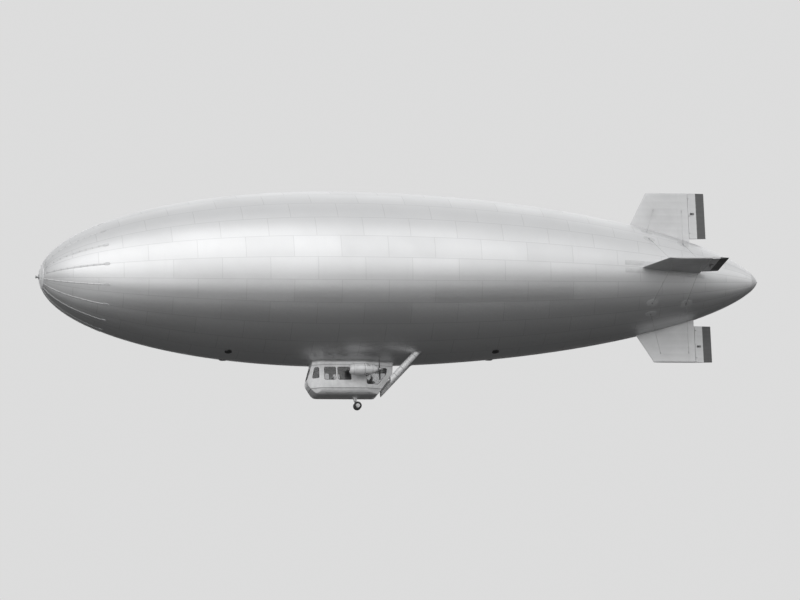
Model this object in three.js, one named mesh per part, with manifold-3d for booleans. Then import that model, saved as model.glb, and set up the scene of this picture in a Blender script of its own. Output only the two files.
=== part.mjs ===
// Non-rigid airship with its car, fins and landing gear, as a model at half the real size.
// Lengths are millimetres of the model.
// +X runs to the nose, +Y to port and +Z up, from the hull's axis at its centre of lift.
import * as THREE from 'three';
import { mergeVertices } from 'three/addons/utils/BufferGeometryUtils.js';
import { ConvexGeometry } from 'three/addons/geometries/ConvexGeometry.js';
import Module from 'manifold-3d';

const wasm = await Module();
wasm.setup();

// Fits between pieces
const SEAT = 0.3;
const CLEAR = 5;
const PIN_PLAY = 0.6;

// How far a cutter runs past a face, and past every piece
const PAST = 10;
const FAR = 20000;

// Hull: an ellipse ahead of its fullest place, a blunter curve behind it.
// A station is a distance from the hull's nose, measured aft along the axis.
const HULL_LENGTH = 29260;
const HULL_RADIUS = 3500;
const HULL_WALL = 10;
const HULL_SIDES = 48;
const FULLEST = 0.4 * HULL_LENGTH;
const TAIL_POWER = 1.28;
const NOSE_STEPS = 12;
const TAIL_STEPS = 14;
const NOSE_X = 0.461 * HULL_LENGTH;

// Nose: a dish with battens that fan out from it, and the spindle that the mast holds
const DISH_END = 120;
const DISH_THICK = 16;
const BATTEN_COUNT = 16;
const BATTEN_END = 2400;
const BATTEN_THICK = 9;
const BATTEN_WIDTH = 34;
const DISH_SEAM = 40;
const SPINDLE = [ // place ahead of the dish, radius
  [-60, 0], [-60, 95], [14, 95], [30, 42], [96, 42], [104, 60], [130, 60], [130, 0],
];
const SPINDLE_SIDES = 24;

// Valves on the lower flanks of the hull: station, and the angle up from the keel line
const VALVE_RADIUS = 150;
const VALVE_FLARE = 14;
const VALVE_HEIGHT = 34;
const VALVE_SIDES = 24;
const VALVES = [
  { name: 'air_valve_fore_port', station: 7400, angle: 12 },
  { name: 'air_valve_fore_starboard', station: 7400, angle: -12 },
  { name: 'air_valve_aft_port', station: 18200, angle: 12 },
  { name: 'air_valve_aft_starboard', station: 18200, angle: -12 },
];

// Fins: turn about the hull's axis from the top, tip radius, and where the surface behind ends
const FIN_ROOT_STATION = 23900;
const FIN_TIP_STATION = 24800;
const FIN_ROOT_RADIUS = 1300;
const FIN_TIP_ROUND = 70;
const FIN_ROOT_RUN = 330;
const FIN_ROOT_HALF = 80;
const FIN_SHOULDER_HALF = 56;
const FIN_TIP_HALF = 22;
const FIN_TIP_REAR_HALF = 20;
const HINGE_STATION = 26600;
const SURFACE_CHORD = 640;
const SURFACE_NOSE = 45;
const SURFACE_EDGE = 5;
const SURFACE_STEPS = 8;
const FIN_SECTION = [ // share of the chord, share of the half thickness
  [0, 0.1], [0.03, 0.45], [0.1, 0.76], [0.2, 0.95], [0.34, 1],
];
const STAY_RADIUS = 5;
const STAY_SIDES = 6;
const STAYS = [ // station and radius on the fin, station and turn from the fin on the hull
  { station: 25150, radius: 3050, footStation: 24500, turn: 38 },
  { station: 26300, radius: 3050, footStation: 26000, turn: 44 },
];
const FINS = [
  { fin: 'fin_top', surface: 'rudder_top', turn: 0, tip: 3700, inner: 1800, outer: 3690 },
  { fin: 'fin_bottom', surface: 'rudder_bottom', turn: 180, tip: 3350, inner: 1850, outer: 3340 },
  { fin: 'fin_port', surface: 'elevator_port', turn: -90, tip: 3810, inner: 1800, outer: 3800 },
  { fin: 'fin_starboard', surface: 'elevator_starboard', turn: 90, tip: 3810, inner: 1800, outer: 3800 },
];
const LUG_SHARES = [0.12, 0.5, 0.88];
const LUG_THICK = 14;
const LUG_RADIUS = 17;
const LUG_ROOT = 12;
const PIN_RADIUS = 8;
const PIN_END = 40;

// Car: outlines of its side, plan and cross-section, joined where all three meet
const CAR_HALF = 535;
const CAR_WALL = 20;
const PAST_MIDDLE = 50;
const FLOOR_Z = -4600;
const CEILING_Z = -3660;
const CAR_TOP = -3200;
const ARC_STEPS = 5;
const CAR_SIDE = [ // station, height, corner radius
  [10905, CAR_TOP, 0], [10560, -4350, 330], [10900, -4850, 420],
  [13400, -4850, 260], [14060, -3950, 160], [14120, CAR_TOP, 0],
];
const CAR_PLAN = [ // station, half width, corner radius
  [10480, 250, 150], [11150, CAR_HALF, 500], [12900, CAR_HALF, 600], [14170, 250, 120],
];
const CAR_SECTION = [ // half width, height, corner radius
  [CAR_HALF, CAR_TOP, 0], [CAR_HALF, -4860, 240],
];
const FRONT_SPLIT = 11150;
const REAR_FRAME = [[13420, -4660], [13900, -4020], [13930, -3500], [14400, -3500], [14400, -4660]];

// Car glazing: panes lie in the middle of the wall
const PANE_DEPTHS = [7, 13];
const PANE_CORNER = 35;
const SILL_Z = -4260;
const FRONT_SILL_Z = -4180;
const HEAD_Z = -3750;
const REAR_QUARTER = [[12975, -4420], [13440, -4420], [13800, -3960], [13830, HEAD_Z], [12975, HEAD_Z]];
const QUARTER_PANE = [[10790, FRONT_SILL_Z], [11045, FRONT_SILL_Z], [11045, HEAD_Z], [10890, HEAD_Z]];
const SIDE_PANES = [ // y is +1 to port
  { name: 'window_port_front', y: 1, outline: rectangle(11260, 11720, SILL_Z, HEAD_Z) },
  { name: 'window_port_middle', y: 1, outline: rectangle(11800, 12330, SILL_Z, HEAD_Z) },
  { name: 'window_port_rear', y: 1, outline: REAR_QUARTER },
  { name: 'window_starboard_front', y: -1, outline: rectangle(11260, 11640, SILL_Z, HEAD_Z) },
  { name: 'window_starboard_rear', y: -1, outline: REAR_QUARTER },
];
const FRONT_PANES = [ // outlines in the plane across the car, or its side view
  { name: 'windshield_port', across: true, outline: rectangle(18, 240, FRONT_SILL_Z, HEAD_Z) },
  { name: 'windshield_starboard', across: true, outline: rectangle(-240, -18, FRONT_SILL_Z, HEAD_Z) },
  { name: 'quarter_window_port', y: 1, outline: QUARTER_PANE },
  { name: 'quarter_window_starboard', y: -1, outline: QUARTER_PANE },
];
const REAR_PANE = { name: 'window_rear', across: true, outline: rectangle(-190, 190, -4370, -3995) };
const REAR_SPLIT = 13500;

// Door on the starboard side, hung on straps at its front edge
const DOOR_OPENING = rectangle(11720, 12150, -4560, -3700);
const DOOR_GLASS = rectangle(11800, 12075, -4230, -3780);
const DOOR_HINGE = { station: 11700, y: -(CAR_HALF + 12) };
const DOOR_HINGE_HEIGHTS = [-3850, -4400];
const DOOR_PIN_RADIUS = 4;
const DOOR_PIN_REACH = 14;
const STRAP = { height: 24, reach: 70, half: 7, foot: 28, bedded: 4 };
const DOOR_LUG = { gap: 1, thick: 15, half: 8, reach: 46, foot: 12 };
const DOOR_HANDLE = { fore: 12086, aft: 12128, low: -4262, high: -4246, proud: 16 };

// Cabin fittings
const SEATS = [ // station of the back, y of the middle, width
  { name: 'seat_pilot', back: 11640, y: 240, width: 240 },
  { name: 'seat_copilot', back: 11640, y: -240, width: 240 },
  { name: 'seat_passenger_port', back: 12480, y: 240, width: 240 },
  { name: 'seat_passenger_starboard', back: 12480, y: -270, width: 240 },
  { name: 'rear_bench', back: 13200, y: 0, width: 700 },
];
const SEAT_DEPTH = 230;
const SEAT_HEIGHT = 220;
const SEAT_BACK_HEIGHT = 520;
const SEAT_BACK_THICK = 50;
const SEAT_RECLINE = 50;
const SEAT_FALL = 16;
const PANEL = { aft: 10990, low: -4440, high: -4290 };
const CONTROL_WHEEL = { station: 11500, y: 70, z: -4330, radius: 120, tube: 9, tubeSides: 5, sides: 18 };
const CONTROL_HUB = { radius: 20, inner: -22, outer: 12 };
const CONTROL_STAND = { half: 16, inner: -34, outer: -18 };
const CONTROL_SPOKE_RADIUS = 6;

// Power plant: a nacelle each side on an outrigger, with a pusher propeller
const NACELLE_Y = 1000;
const NACELLE_Z = -3950;
const NACELLE = [ // station, radius
  [12180, 96], [12186, 124], [12206, 154], [12245, 184], [12310, 211], [12400, 229], [12520, 236],
  [12760, 235], [12930, 218], [13080, 188], [13200, 150], [13280, 108], [13320, 70],
];
const NACELLE_WALL = 9;
const NACELLE_HOLLOW_END = 13060;
const NACELLE_SIDES = 28;
const INTAKE_DEPTH = 120;
const ENGINE = { fore: 12420, aft: 12940, half: 140, low: -130, high: 120 };
const SHAFT_RADIUS = 22;
const SHAFT_BORE_DEPTH = 90;
const PROPELLER_STATION = 13400;
const PROPELLER_RADIUS = 495;
const SHAFT_GAP = 8;
const SPINNER = [ // place ahead of the blades, radius
  [46, 0], [46, 56], [34, 62], [-40, 62], [-70, 56], [-104, 42], [-136, 20], [-150, 0],
];
const SPINNER_SIDES = 20;
const BLADE_STATIONS = [ // radius, chord, thickness, pitch in degrees
  [30, 60, 34, 50], [150, 88, 20, 38], [320, 92, 12, 24], [470, 62, 7, 17], [PROPELLER_RADIUS, 30, 4, 16],
];
const BLADE_SECTION = [ // share of the chord, share of the thickness
  [0.5, 0], [0.3, 0.36], [0.05, 0.5], [-0.25, 0.32], [-0.5, 0], [0.05, -0.5],
];
const OUTRIGGER = [ // station, half thickness
  [12420, 3], [12445, 24], [12490, 38], [12610, 44], [12740, 28], [12860, 4],
];
const OUTRIGGER_ROOT = 300;

// Air scoops: slanted ducts from behind the propellers into the hull
const SCOOP_LOW = { station: 13800, z: -4430 };
const SCOOP_HIGH = { station: 15100, z: -3095 };
const SCOOP_RADIUS = 120;
const SCOOP_WALL = 9;
const SCOOP_SIDES = 24;
const SCOOP_RUN_DOWN = 500;
const SCOOP_RUN_ON = 200;

// Landing gear: a leg under the car, a swivelling fork and a twin wheel
const GEAR_STATION = 12560;
const WHEEL_TRAIL = 80;
const WHEEL_Z = -5210;
const WHEEL_RADIUS = 160;
const TYRE_MIDDLE = 86;
const RIM_RADIUS = 82;
const WHEEL_SIDES = 28;
const AXLE_RADIUS = 16;
const CAR_BOTTOM = -4850;
const LEG_FLANGE = { half: 130, halfWidth: 70, thick: 18 };
const LEG = { fore: 95, aft: 85, foot: 46, halfWidth: 42 };
const LEG_FOOT_Z = -5035;
const LEG_BORE_TOP = -4900;
const POST_RADIUS = 26;
const POST_LOW = -5080;
const POST_GAP = 2;
const FORK_HALF = 26;
const FORK_GAP = 1;
const FORK = [ // distance ahead of the swivel, height
  [34, -5090], [-60, -5246], [-110, -5246], [-114, -5180],
];
const FORK_TOP = { fore: 34, aft: -44 };
const HUB = { inner: 40, outer: 34, cap: 52, capRadius: 30, gapRadius: 34 };
const TYRE = [ // distance out from the tyre's middle, radius
  [34, RIM_RADIUS + SEAT], [42, 108], [34, 142], [16, WHEEL_RADIUS],
];

// Hand rails along the bottom of the car
const RAIL = { fore: 11250, aft: 13150, z: -4790, y: 560, radius: 11 };
const RAIL_SIDES = 8;
const RAIL_BRACKETS = [11350, 12200, 13050];
const BRACKET = { half: 8, halfHeight: 6, root: 400 };

// Finishes: colour, roughness, metalness
const FINISHES = {
  fabric: [0xb9babb, 0.5, 0.25],
  painted: [0xc9cacb, 0.4, 0.1],
  dark: [0x5a5b5d, 0.5, 0.1],
  steel: [0x8b8d90, 0.35, 0.8],
  glass: [0x2b3036, 0.08, 0.0],
  seat: [0x3c3d40, 0.8, 0.0],
  rubber: [0x1c1c1d, 0.85, 0.0],
};

// A rectangle of two ranges, as an outline
function rectangle(lowU, highU, lowV, highV) {
  return [[lowU, lowV], [highU, lowV], [highU, highV], [lowU, highV]];
}

// Merged points with the flat triangles at a pole left out, faces outwards
function closed(geometry) {
  const bare = geometry.clone();
  bare.deleteAttribute('normal');
  bare.deleteAttribute('uv');
  const merged = mergeVertices(bare, 1e-3);
  const corners = merged.index.array;
  const kept = [];
  for (let at = 0; at < corners.length; at += 3) {
    const [a, b, c] = corners.slice(at, at + 3);
    if (a !== b && b !== c && c !== a) {
      kept.push(a, b, c);
    }
  }
  merged.setIndex(kept);
  return merged;
}

function solid(geometry) {
  const corners = Uint32Array.from(geometry.index.array);
  const vertProperties = geometry.attributes.position.array;
  const made = new wasm.Manifold(new wasm.Mesh({ numProp: 3, vertProperties, triVerts: corners }));
  if (made.volume() > 0) {
    return made;
  }
  return new wasm.Manifold(new wasm.Mesh({ numProp: 3, vertProperties, triVerts: corners.reverse() }));
}

function geometryOf(body) {
  const mesh = body.getMesh();
  const geometry = new THREE.BufferGeometry();
  geometry.setAttribute('position', new THREE.BufferAttribute(mesh.vertProperties, 3));
  geometry.setIndex(new THREE.BufferAttribute(mesh.triVerts, 1));
  return geometry;
}

function join(bodies) {
  return bodies.reduce((whole, body) => whole.add(body));
}

function box(x, y, z) {
  const geometry = closed(new THREE.BoxGeometry(x[1] - x[0], y[1] - y[0], z[1] - z[0]));
  geometry.translate((x[0] + x[1]) / 2, (y[0] + y[1]) / 2, (z[0] + z[1]) / 2);
  return solid(geometry);
}

// Outline of pairs, extruded from low to high along the axis that they leave out
function prism(outline, low, high, along) {
  const shape = new THREE.Shape(outline.map(([u, v]) => new THREE.Vector2(u, v)));
  const geometry = closed(new THREE.ExtrudeGeometry(shape, { depth: high - low, bevelEnabled: false }));
  const [x, y, z] = [new THREE.Vector3(1, 0, 0), new THREE.Vector3(0, 1, 0), new THREE.Vector3(0, 0, 1)];
  const turned = {
    x: new THREE.Matrix4().makeBasis(y, z, x),
    y: new THREE.Matrix4().makeBasis(x, z, y),
    z: new THREE.Matrix4(),
  };
  geometry.translate(0, 0, low);
  geometry.applyMatrix4(turned[along]);
  return solid(geometry);
}

// Side view outline in stations and heights, turned to the frame's X and extruded along Y
function sidePrism(outline, low, high) {
  return prism(outline.map(([station, z]) => [NOSE_X - station, z]), low, high, 'y');
}

// Pairs of a place along X and a radius, turned about the X axis
function spun(line, sides) {
  const points = line.map(([x, radius]) => new THREE.Vector2(radius, x));
  const geometry = closed(new THREE.LatheGeometry(points, sides));
  geometry.rotateZ(-Math.PI / 2);
  return geometry;
}

function rod(radius, from, to, along, sides = 16) {
  const geometry = closed(new THREE.CylinderGeometry(radius, radius, to - from, sides));
  geometry.translate(0, (from + to) / 2, 0);
  if (along === 'x') {
    geometry.rotateZ(-Math.PI / 2);
  }
  if (along === 'z') {
    geometry.rotateX(Math.PI / 2);
  }
  return geometry;
}

// Edges of a convex outline moved inwards by a distance, or outwards by a negative one
function inset(outline, distance) {
  const area = outline.reduce((sum, [u, v], at) => {
    const [nextU, nextV] = outline[(at + 1) % outline.length];
    return sum + u * nextV - nextU * v;
  }, 0);
  const side = Math.sign(area) * distance;
  const edges = outline.map(([u, v], at) => {
    const [nextU, nextV] = outline[(at + 1) % outline.length];
    const length = Math.hypot(nextU - u, nextV - v);
    const [du, dv] = [(nextU - u) / length, (nextV - v) / length];
    return { u: u - dv * side, v: v + du * side, du, dv };
  });
  return edges.map((edge, at) => {
    const last = edges[(at + edges.length - 1) % edges.length];
    const cross = last.du * edge.dv - last.dv * edge.du;
    const reach = ((edge.u - last.u) * edge.dv - (edge.v - last.v) * edge.du) / cross;
    return [last.u + last.du * reach, last.v + last.dv * reach];
  });
}

// Each corner of an outline replaced by an arc of the radius given with it
function rounded(outline) {
  return outline.flatMap(([u, v, radius], at) => {
    const last = outline[(at + outline.length - 1) % outline.length];
    const next = outline[(at + 1) % outline.length];
    const corner = new THREE.Vector2(u, v);
    const toLast = new THREE.Vector2(last[0], last[1]).sub(corner).normalize();
    const toNext = new THREE.Vector2(next[0], next[1]).sub(corner).normalize();
    if (radius === 0) {
      return [[u, v]];
    }
    const half = Math.acos(toLast.dot(toNext)) / 2;
    const middle = toLast.clone().add(toNext).normalize().multiplyScalar(radius / Math.sin(half)).add(corner);
    const start = toLast.multiplyScalar(radius / Math.tan(half)).add(corner).sub(middle);
    const end = toNext.multiplyScalar(radius / Math.tan(half)).add(corner).sub(middle);
    const sweep = Math.atan2(start.cross(end), start.dot(end));
    return Array.from({ length: ARC_STEPS + 1 }, (unused, step) => {
      const point = start.clone().rotateAround(new THREE.Vector2(), (sweep * step) / ARC_STEPS).add(middle);
      return [point.x, point.y];
    });
  });
}

// Each corner of an outline replaced by two points on its edges
function clipped(outline, size) {
  return outline.flatMap((corner, at) => {
    const last = outline[(at + outline.length - 1) % outline.length];
    const next = outline[(at + 1) % outline.length];
    return [last, next].map((neighbour) => {
      const share = size / Math.hypot(neighbour[0] - corner[0], neighbour[1] - corner[1]);
      return corner.map((value, axis) => value + (neighbour[axis] - value) * share);
    });
  });
}

// Hull profile as stations and radii, moved outwards by an offset
function hullLine(offset) {
  const line = [];
  for (let step = 0; step <= NOSE_STEPS; step += 1) {
    const angle = (step / NOSE_STEPS) * (Math.PI / 2);
    line.push([FULLEST * (1 - Math.cos(angle)), HULL_RADIUS * Math.sin(angle)]);
  }
  for (let step = 1; step <= TAIL_STEPS; step += 1) {
    const angle = (step / TAIL_STEPS) * (Math.PI / 2);
    const station = FULLEST + (HULL_LENGTH - FULLEST) * Math.sin(angle);
    const radius = step < TAIL_STEPS ? HULL_RADIUS * Math.cos(angle) ** TAIL_POWER : 0;
    line.push([station, radius]);
  }
  return moved(line, offset);
}

// A profile that starts and ends on the axis, each edge moved out by an offset
function moved(line, offset) {
  const mirrored = [[line[1][0], -line[1][1]], ...line, [line.at(-2)[0], -line.at(-2)[1]]];
  return line.map((point, at) => {
    const normals = [0, 1].map((next) => {
      const ds = mirrored[at + next + 1][0] - mirrored[at + next][0];
      const dr = mirrored[at + next + 1][1] - mirrored[at + next][1];
      return [-dr / Math.hypot(ds, dr), ds / Math.hypot(ds, dr)];
    });
    const sum = [normals[0][0] + normals[1][0], normals[0][1] + normals[1][1]];
    const scale = offset / (1 + normals[0][0] * normals[1][0] + normals[0][1] * normals[1][1]);
    return [point[0] + sum[0] * scale, point[1] + sum[1] * scale];
  });
}

function hullBody(offset) {
  return solid(spun(hullLine(offset).map(([station, radius]) => [NOSE_X - station, radius]), HULL_SIDES));
}

function hullRadius(station) {
  const line = hullLine(0);
  const at = line.findIndex(([place]) => place > station);
  const [[fore, low], [aft, high]] = [line[at - 1], line[at]];
  return low + ((high - low) * (station - fore)) / (aft - fore);
}

const HULL_OUTSIDE = hullBody(SEAT);

// The hull's line between two stations, as a closed band from one offset to another
function hullBand(from, to, inner, outer) {
  const cut = (offset) => {
    const line = hullLine(offset);
    const within = line.filter(([station]) => station > from + 1 && station < to - 1);
    const ends = [from, to].map((station) => {
      const at = line.findIndex(([place]) => place > station);
      const share = (station - line[at - 1][0]) / (line[at][0] - line[at - 1][0]);
      return [station, line[at - 1][1] + share * (line[at][1] - line[at - 1][1])];
    });
    return [ends[0], ...within, ends[1]];
  };
  return [...cut(inner), ...cut(outer).reverse()];
}

function envelope() {
  const shell = hullBody(0).subtract(hullBody(-HULL_WALL));
  const ducts = [1, -1].map((side) => solid(scoopRod(side, SCOOP_RADIUS + SEAT, SCOOP_RUN_ON)));
  return shell.subtract(join(ducts));
}

// Dish over the nose with its battens, which lie along the hull
function noseDish() {
  const dishOutside = moved(hullLine(0), SEAT + DISH_THICK);
  const dish = solid(spun(dishOutside.map(([station, radius]) => [NOSE_X - station, radius]), HULL_SIDES))
    .intersect(stations(-PAST - DISH_THICK, DISH_END, [-FAR, FAR]));
  const battenLine = hullBand(DISH_END - DISH_SEAM, BATTEN_END, -1, SEAT + BATTEN_THICK);
  const battens = Array.from({ length: BATTEN_COUNT }, (unused, at) => {
    const outline = battenLine.map(([station, radius]) => [NOSE_X - station, radius]);
    const strip = geometryOf(prism(outline, -BATTEN_WIDTH / 2, BATTEN_WIDTH / 2, 'y'));
    strip.rotateX((at / BATTEN_COUNT) * 2 * Math.PI);
    return solid(strip);
  });
  return join([dish, ...battens]).subtract(HULL_OUTSIDE);
}

function mooringSpindle() {
  const base = NOSE_X + DISH_THICK;
  const dish = moved(hullLine(0), 2 * SEAT + DISH_THICK);
  return solid(spun(SPINDLE.map(([ahead, radius]) => [base + ahead, radius]), SPINDLE_SIDES))
    .subtract(solid(spun(dish.map(([station, radius]) => [NOSE_X - station, radius]), HULL_SIDES)));
}

function airValve({ station, angle }) {
  const radius = hullRadius(station);
  const base = VALVE_RADIUS + VALVE_FLARE;
  const disc = closed(new THREE.CylinderGeometry(VALVE_RADIUS, base, 2 * VALVE_HEIGHT, VALVE_SIDES));
  disc.rotateX(-Math.PI / 2);
  disc.translate(NOSE_X - station, 0, -radius);
  disc.rotateX((angle * Math.PI) / 180);
  return solid(disc).subtract(HULL_OUTSIDE);
}

// Fin standing up from the axis, rounded ahead of its thickest place and flat behind it
function fin({ tip, inner, outer }) {
  const rear = HINGE_STATION - SURFACE_NOSE - CLEAR - SEAT;
  const sections = [ // height, leading edge station, half thickness, half thickness at the rear
    [FIN_ROOT_RADIUS, FIN_ROOT_STATION - FIN_ROOT_RUN, FIN_ROOT_HALF, SURFACE_NOSE],
    [tip - FIN_TIP_ROUND, FIN_TIP_STATION, FIN_SHOULDER_HALF, SURFACE_NOSE],
    [tip, FIN_TIP_STATION + FIN_TIP_ROUND, FIN_TIP_HALF, FIN_TIP_REAR_HALF],
  ];
  const points = sections.flatMap(([z, lead, half, back]) => [1, -1].flatMap((side) => [
    ...FIN_SECTION.map(([along, share]) => (
      new THREE.Vector3(NOSE_X - lead - (rear - lead) * along, side * half * share, z)
    )),
    new THREE.Vector3(NOSE_X - rear, side * back, z),
  ]));
  const blade = solid(closed(new ConvexGeometry(points)));
  const stays = STAYS.flatMap((stay) => [finStay(stay, 1), finStay(stay, -1)]);
  const lugs = LUG_SHARES.map((share) => hingeLug(inner + (outer - inner) * share, rear));
  return join([join([blade, ...stays]).subtract(HULL_OUTSIDE), ...lugs]);
}

// A taut stay from inside the fin down through the hull's surface, which trims it
function finStay({ station, radius, footStation, turn }, side) {
  const angle = (side * turn * Math.PI) / 180;
  const foot = hullRadius(footStation);
  const top = new THREE.Vector3(NOSE_X - station, 0, radius);
  const low = new THREE.Vector3(NOSE_X - footStation, Math.sin(angle) * foot, Math.cos(angle) * foot);
  const run = low.clone().sub(top);
  const stay = rod(STAY_RADIUS, 0, run.length() + 2 * STAY_RADIUS, 'y', STAY_SIDES);
  const upright = new THREE.Vector3(0, 1, 0);
  stay.applyQuaternion(new THREE.Quaternion().setFromUnitVectors(upright, run.normalize()));
  stay.translate(top.x, top.y, top.z);
  return solid(stay);
}

function hingeLug(z, rear) {
  const x = NOSE_X - HINGE_STATION;
  const span = [z - LUG_THICK / 2, z + LUG_THICK / 2];
  const neck = box([x, NOSE_X - rear + LUG_ROOT], [-LUG_RADIUS, LUG_RADIUS], span);
  const eye = rod(LUG_RADIUS, span[0], span[1], 'z');
  const hole = rod(PIN_RADIUS + PIN_PLAY, span[0] - PAST, span[1] + PAST, 'z');
  eye.translate(x, 0, 0);
  hole.translate(x, 0, 0);
  return neck.add(solid(eye)).subtract(solid(hole));
}

// Rudder or elevator: a round nose about the hinge line, then a wedge
function controlSurface({ inner, outer }) {
  const nose = Array.from({ length: SURFACE_STEPS + 1 }, (unused, at) => {
    const angle = -Math.PI / 2 + (at / SURFACE_STEPS) * Math.PI;
    return [SURFACE_NOSE * Math.cos(angle), SURFACE_NOSE * Math.sin(angle)];
  });
  const outline = [...nose, [-SURFACE_CHORD, SURFACE_EDGE], [-SURFACE_CHORD, -SURFACE_EDGE]];
  const x = NOSE_X - HINGE_STATION;
  const wedge = prism(outline.map(([u, v]) => [u + x, v]), inner, outer, 'z');
  const slots = LUG_SHARES.map((share) => {
    const z = inner + (outer - inner) * share;
    const span = [z - LUG_THICK / 2 - CLEAR, z + LUG_THICK / 2 + CLEAR];
    const round = rod(LUG_RADIUS + CLEAR, span[0], span[1], 'z');
    round.translate(x, 0, 0);
    const ahead = box([x, x + 2 * SURFACE_NOSE], [-2 * SURFACE_NOSE, 2 * SURFACE_NOSE], span);
    return ahead.add(solid(round));
  });
  const pin = rod(PIN_RADIUS, inner + PIN_END, outer - PIN_END, 'z');
  pin.translate(x, 0, 0);
  return wedge.subtract(join(slots)).add(solid(pin));
}

// The car's outside moved inwards by a distance
function carBody(distance) {
  const plan = [...CAR_PLAN, ...CAR_PLAN.map(([station, y, radius]) => [station, -y, radius]).reverse()];
  const section = [...CAR_SECTION, ...CAR_SECTION.map(([y, z, radius]) => [-y, z, radius]).reverse()];
  const planInFrame = inset(rounded(plan), distance).map(([station, y]) => [NOSE_X - station, y]);
  return sidePrism(inset(rounded(CAR_SIDE), distance), -FAR, FAR)
    .intersect(prism(planInFrame, -FAR, FAR, 'z'))
    .intersect(prism(inset(rounded(section), distance), -FAR, FAR, 'x'));
}

// Everything between two stations and two heights
function stations(fore, aft, z) {
  return box([NOSE_X - aft, NOSE_X - fore], [-FAR, FAR], z);
}

// Range of y on one side of the car, +1 to port
function sideways(side) {
  return side > 0 ? [PAST_MIDDLE, FAR] : [-FAR, -PAST_MIDDLE];
}

const CABIN_BAND = [FLOOR_Z + SEAT / 2, CEILING_Z - SEAT / 2];
const CABIN_LAYER = stations(0, FAR, CABIN_BAND);
const CAR_OUTSIDE = carBody(0);
const CAR_WALLS = CAR_OUTSIDE.subtract(carBody(CAR_WALL)).intersect(CABIN_LAYER);
const PANE_LAYER = carBody(PANE_DEPTHS[0]).subtract(carBody(PANE_DEPTHS[1])).intersect(CABIN_LAYER);

// What a window's outline cuts from the walls, in from its edge by a distance
function paneCutter(pane, distance, fore = 0, aft = FAR) {
  const outline = inset(clipped(pane.outline, PANE_CORNER), distance);
  if (pane.across) {
    return prism(outline, NOSE_X - aft, NOSE_X - fore, 'x');
  }
  return sidePrism(outline, ...sideways(pane.y));
}

function cut(body, cutters) {
  return body.subtract(join(cutters));
}

function carFront() {
  const frame = CAR_WALLS.intersect(stations(0, FRONT_SPLIT - SEAT / 2, CABIN_BAND));
  return cut(frame, FRONT_PANES.map((pane) => paneCutter(pane, 0, 0, FRONT_SPLIT)));
}

function carSide(side) {
  const panel = CAR_WALLS.intersect(box([-FAR, FAR], sideways(side), CABIN_BAND))
    .intersect(stations(FRONT_SPLIT + SEAT / 2, FAR, CABIN_BAND))
    .subtract(sidePrism(inset(REAR_FRAME, -SEAT), -FAR, FAR));
  const panes = SIDE_PANES.filter((pane) => pane.y === side);
  const glazed = cut(panel, panes.map((pane) => paneCutter(pane, 0)));
  if (side > 0) {
    return glazed;
  }
  const doorway = sidePrism(clipped(DOOR_OPENING, PANE_CORNER), ...sideways(side));
  return glazed.subtract(doorway).add(join(doorLugs()));
}

function carRear() {
  const frame = CAR_WALLS.intersect(sidePrism(REAR_FRAME, -FAR, FAR));
  return frame.subtract(paneCutter(REAR_PANE, 0, REAR_SPLIT, FAR));
}

function carRoof() {
  return CAR_OUTSIDE.intersect(stations(0, FAR, [CEILING_Z + SEAT / 2, 0])).subtract(HULL_OUTSIDE);
}

function carBelly() {
  return CAR_OUTSIDE.intersect(stations(0, FAR, [-FAR, FLOOR_Z - SEAT / 2]));
}

function pane(entry, fore, aft) {
  return PANE_LAYER.intersect(paneCutter(entry, SEAT, fore, aft));
}

// Lugs on the side panel that the door's pins stand in
function doorLugs() {
  const { gap, thick, half, reach, foot } = DOOR_LUG;
  const x = NOSE_X - DOOR_HINGE.station;
  return DOOR_HINGE_HEIGHTS.map((z) => {
    const top = z - STRAP.height / 2 - gap;
    const span = [top - thick, top];
    const arm = box([x - half, x + reach], [DOOR_HINGE.y - half, DOOR_HINGE.y + half], span);
    const root = box([x + foot, x + reach], [DOOR_HINGE.y - half, -CAR_HALF + STRAP.bedded], span);
    const hole = rod(DOOR_PIN_RADIUS + PIN_PLAY, span[0] - PAST, span[1] + PAST, 'z');
    hole.translate(x, DOOR_HINGE.y, 0);
    return arm.add(root).subtract(solid(hole));
  });
}

function cabinDoor() {
  const outline = inset(clipped(DOOR_OPENING, PANE_CORNER), CLEAR);
  const leaf = CAR_WALLS.intersect(sidePrism(outline, ...sideways(-1)))
    .subtract(sidePrism(clipped(DOOR_GLASS, PANE_CORNER), ...sideways(-1)));
  const { height, reach, half, foot, bedded } = STRAP;
  const x = NOSE_X - DOOR_HINGE.station;
  const straps = DOOR_HINGE_HEIGHTS.map((z) => {
    const span = [z - height / 2, z + height / 2];
    const arm = box([x - reach, x + half], [DOOR_HINGE.y - half, DOOR_HINGE.y + half], span);
    const root = box([x - reach, x - foot], [DOOR_HINGE.y, -CAR_HALF + bedded], span);
    const pin = rod(DOOR_PIN_RADIUS, span[0] - DOOR_PIN_REACH, z, 'z');
    pin.translate(x, DOOR_HINGE.y, 0);
    return join([arm, root, solid(pin)]);
  });
  const handle = box(
    [NOSE_X - DOOR_HANDLE.aft, NOSE_X - DOOR_HANDLE.fore],
    [-CAR_HALF - DOOR_HANDLE.proud, -CAR_HALF + bedded],
    [DOOR_HANDLE.low, DOOR_HANDLE.high],
  );
  return join([leaf, ...straps, handle]);
}

function seat({ back, y, width }) {
  const base = FLOOR_Z + SEAT / 2;
  const front = back - SEAT_DEPTH;
  const outline = [
    [front, base],
    [front, base + SEAT_HEIGHT],
    [back - SEAT_BACK_THICK, base + SEAT_HEIGHT - SEAT_FALL],
    [back - SEAT_BACK_THICK + SEAT_RECLINE, base + SEAT_BACK_HEIGHT],
    [back + SEAT_RECLINE, base + SEAT_BACK_HEIGHT],
    [back, base],
  ];
  return sidePrism(outline, y - width / 2, y + width / 2);
}

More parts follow.
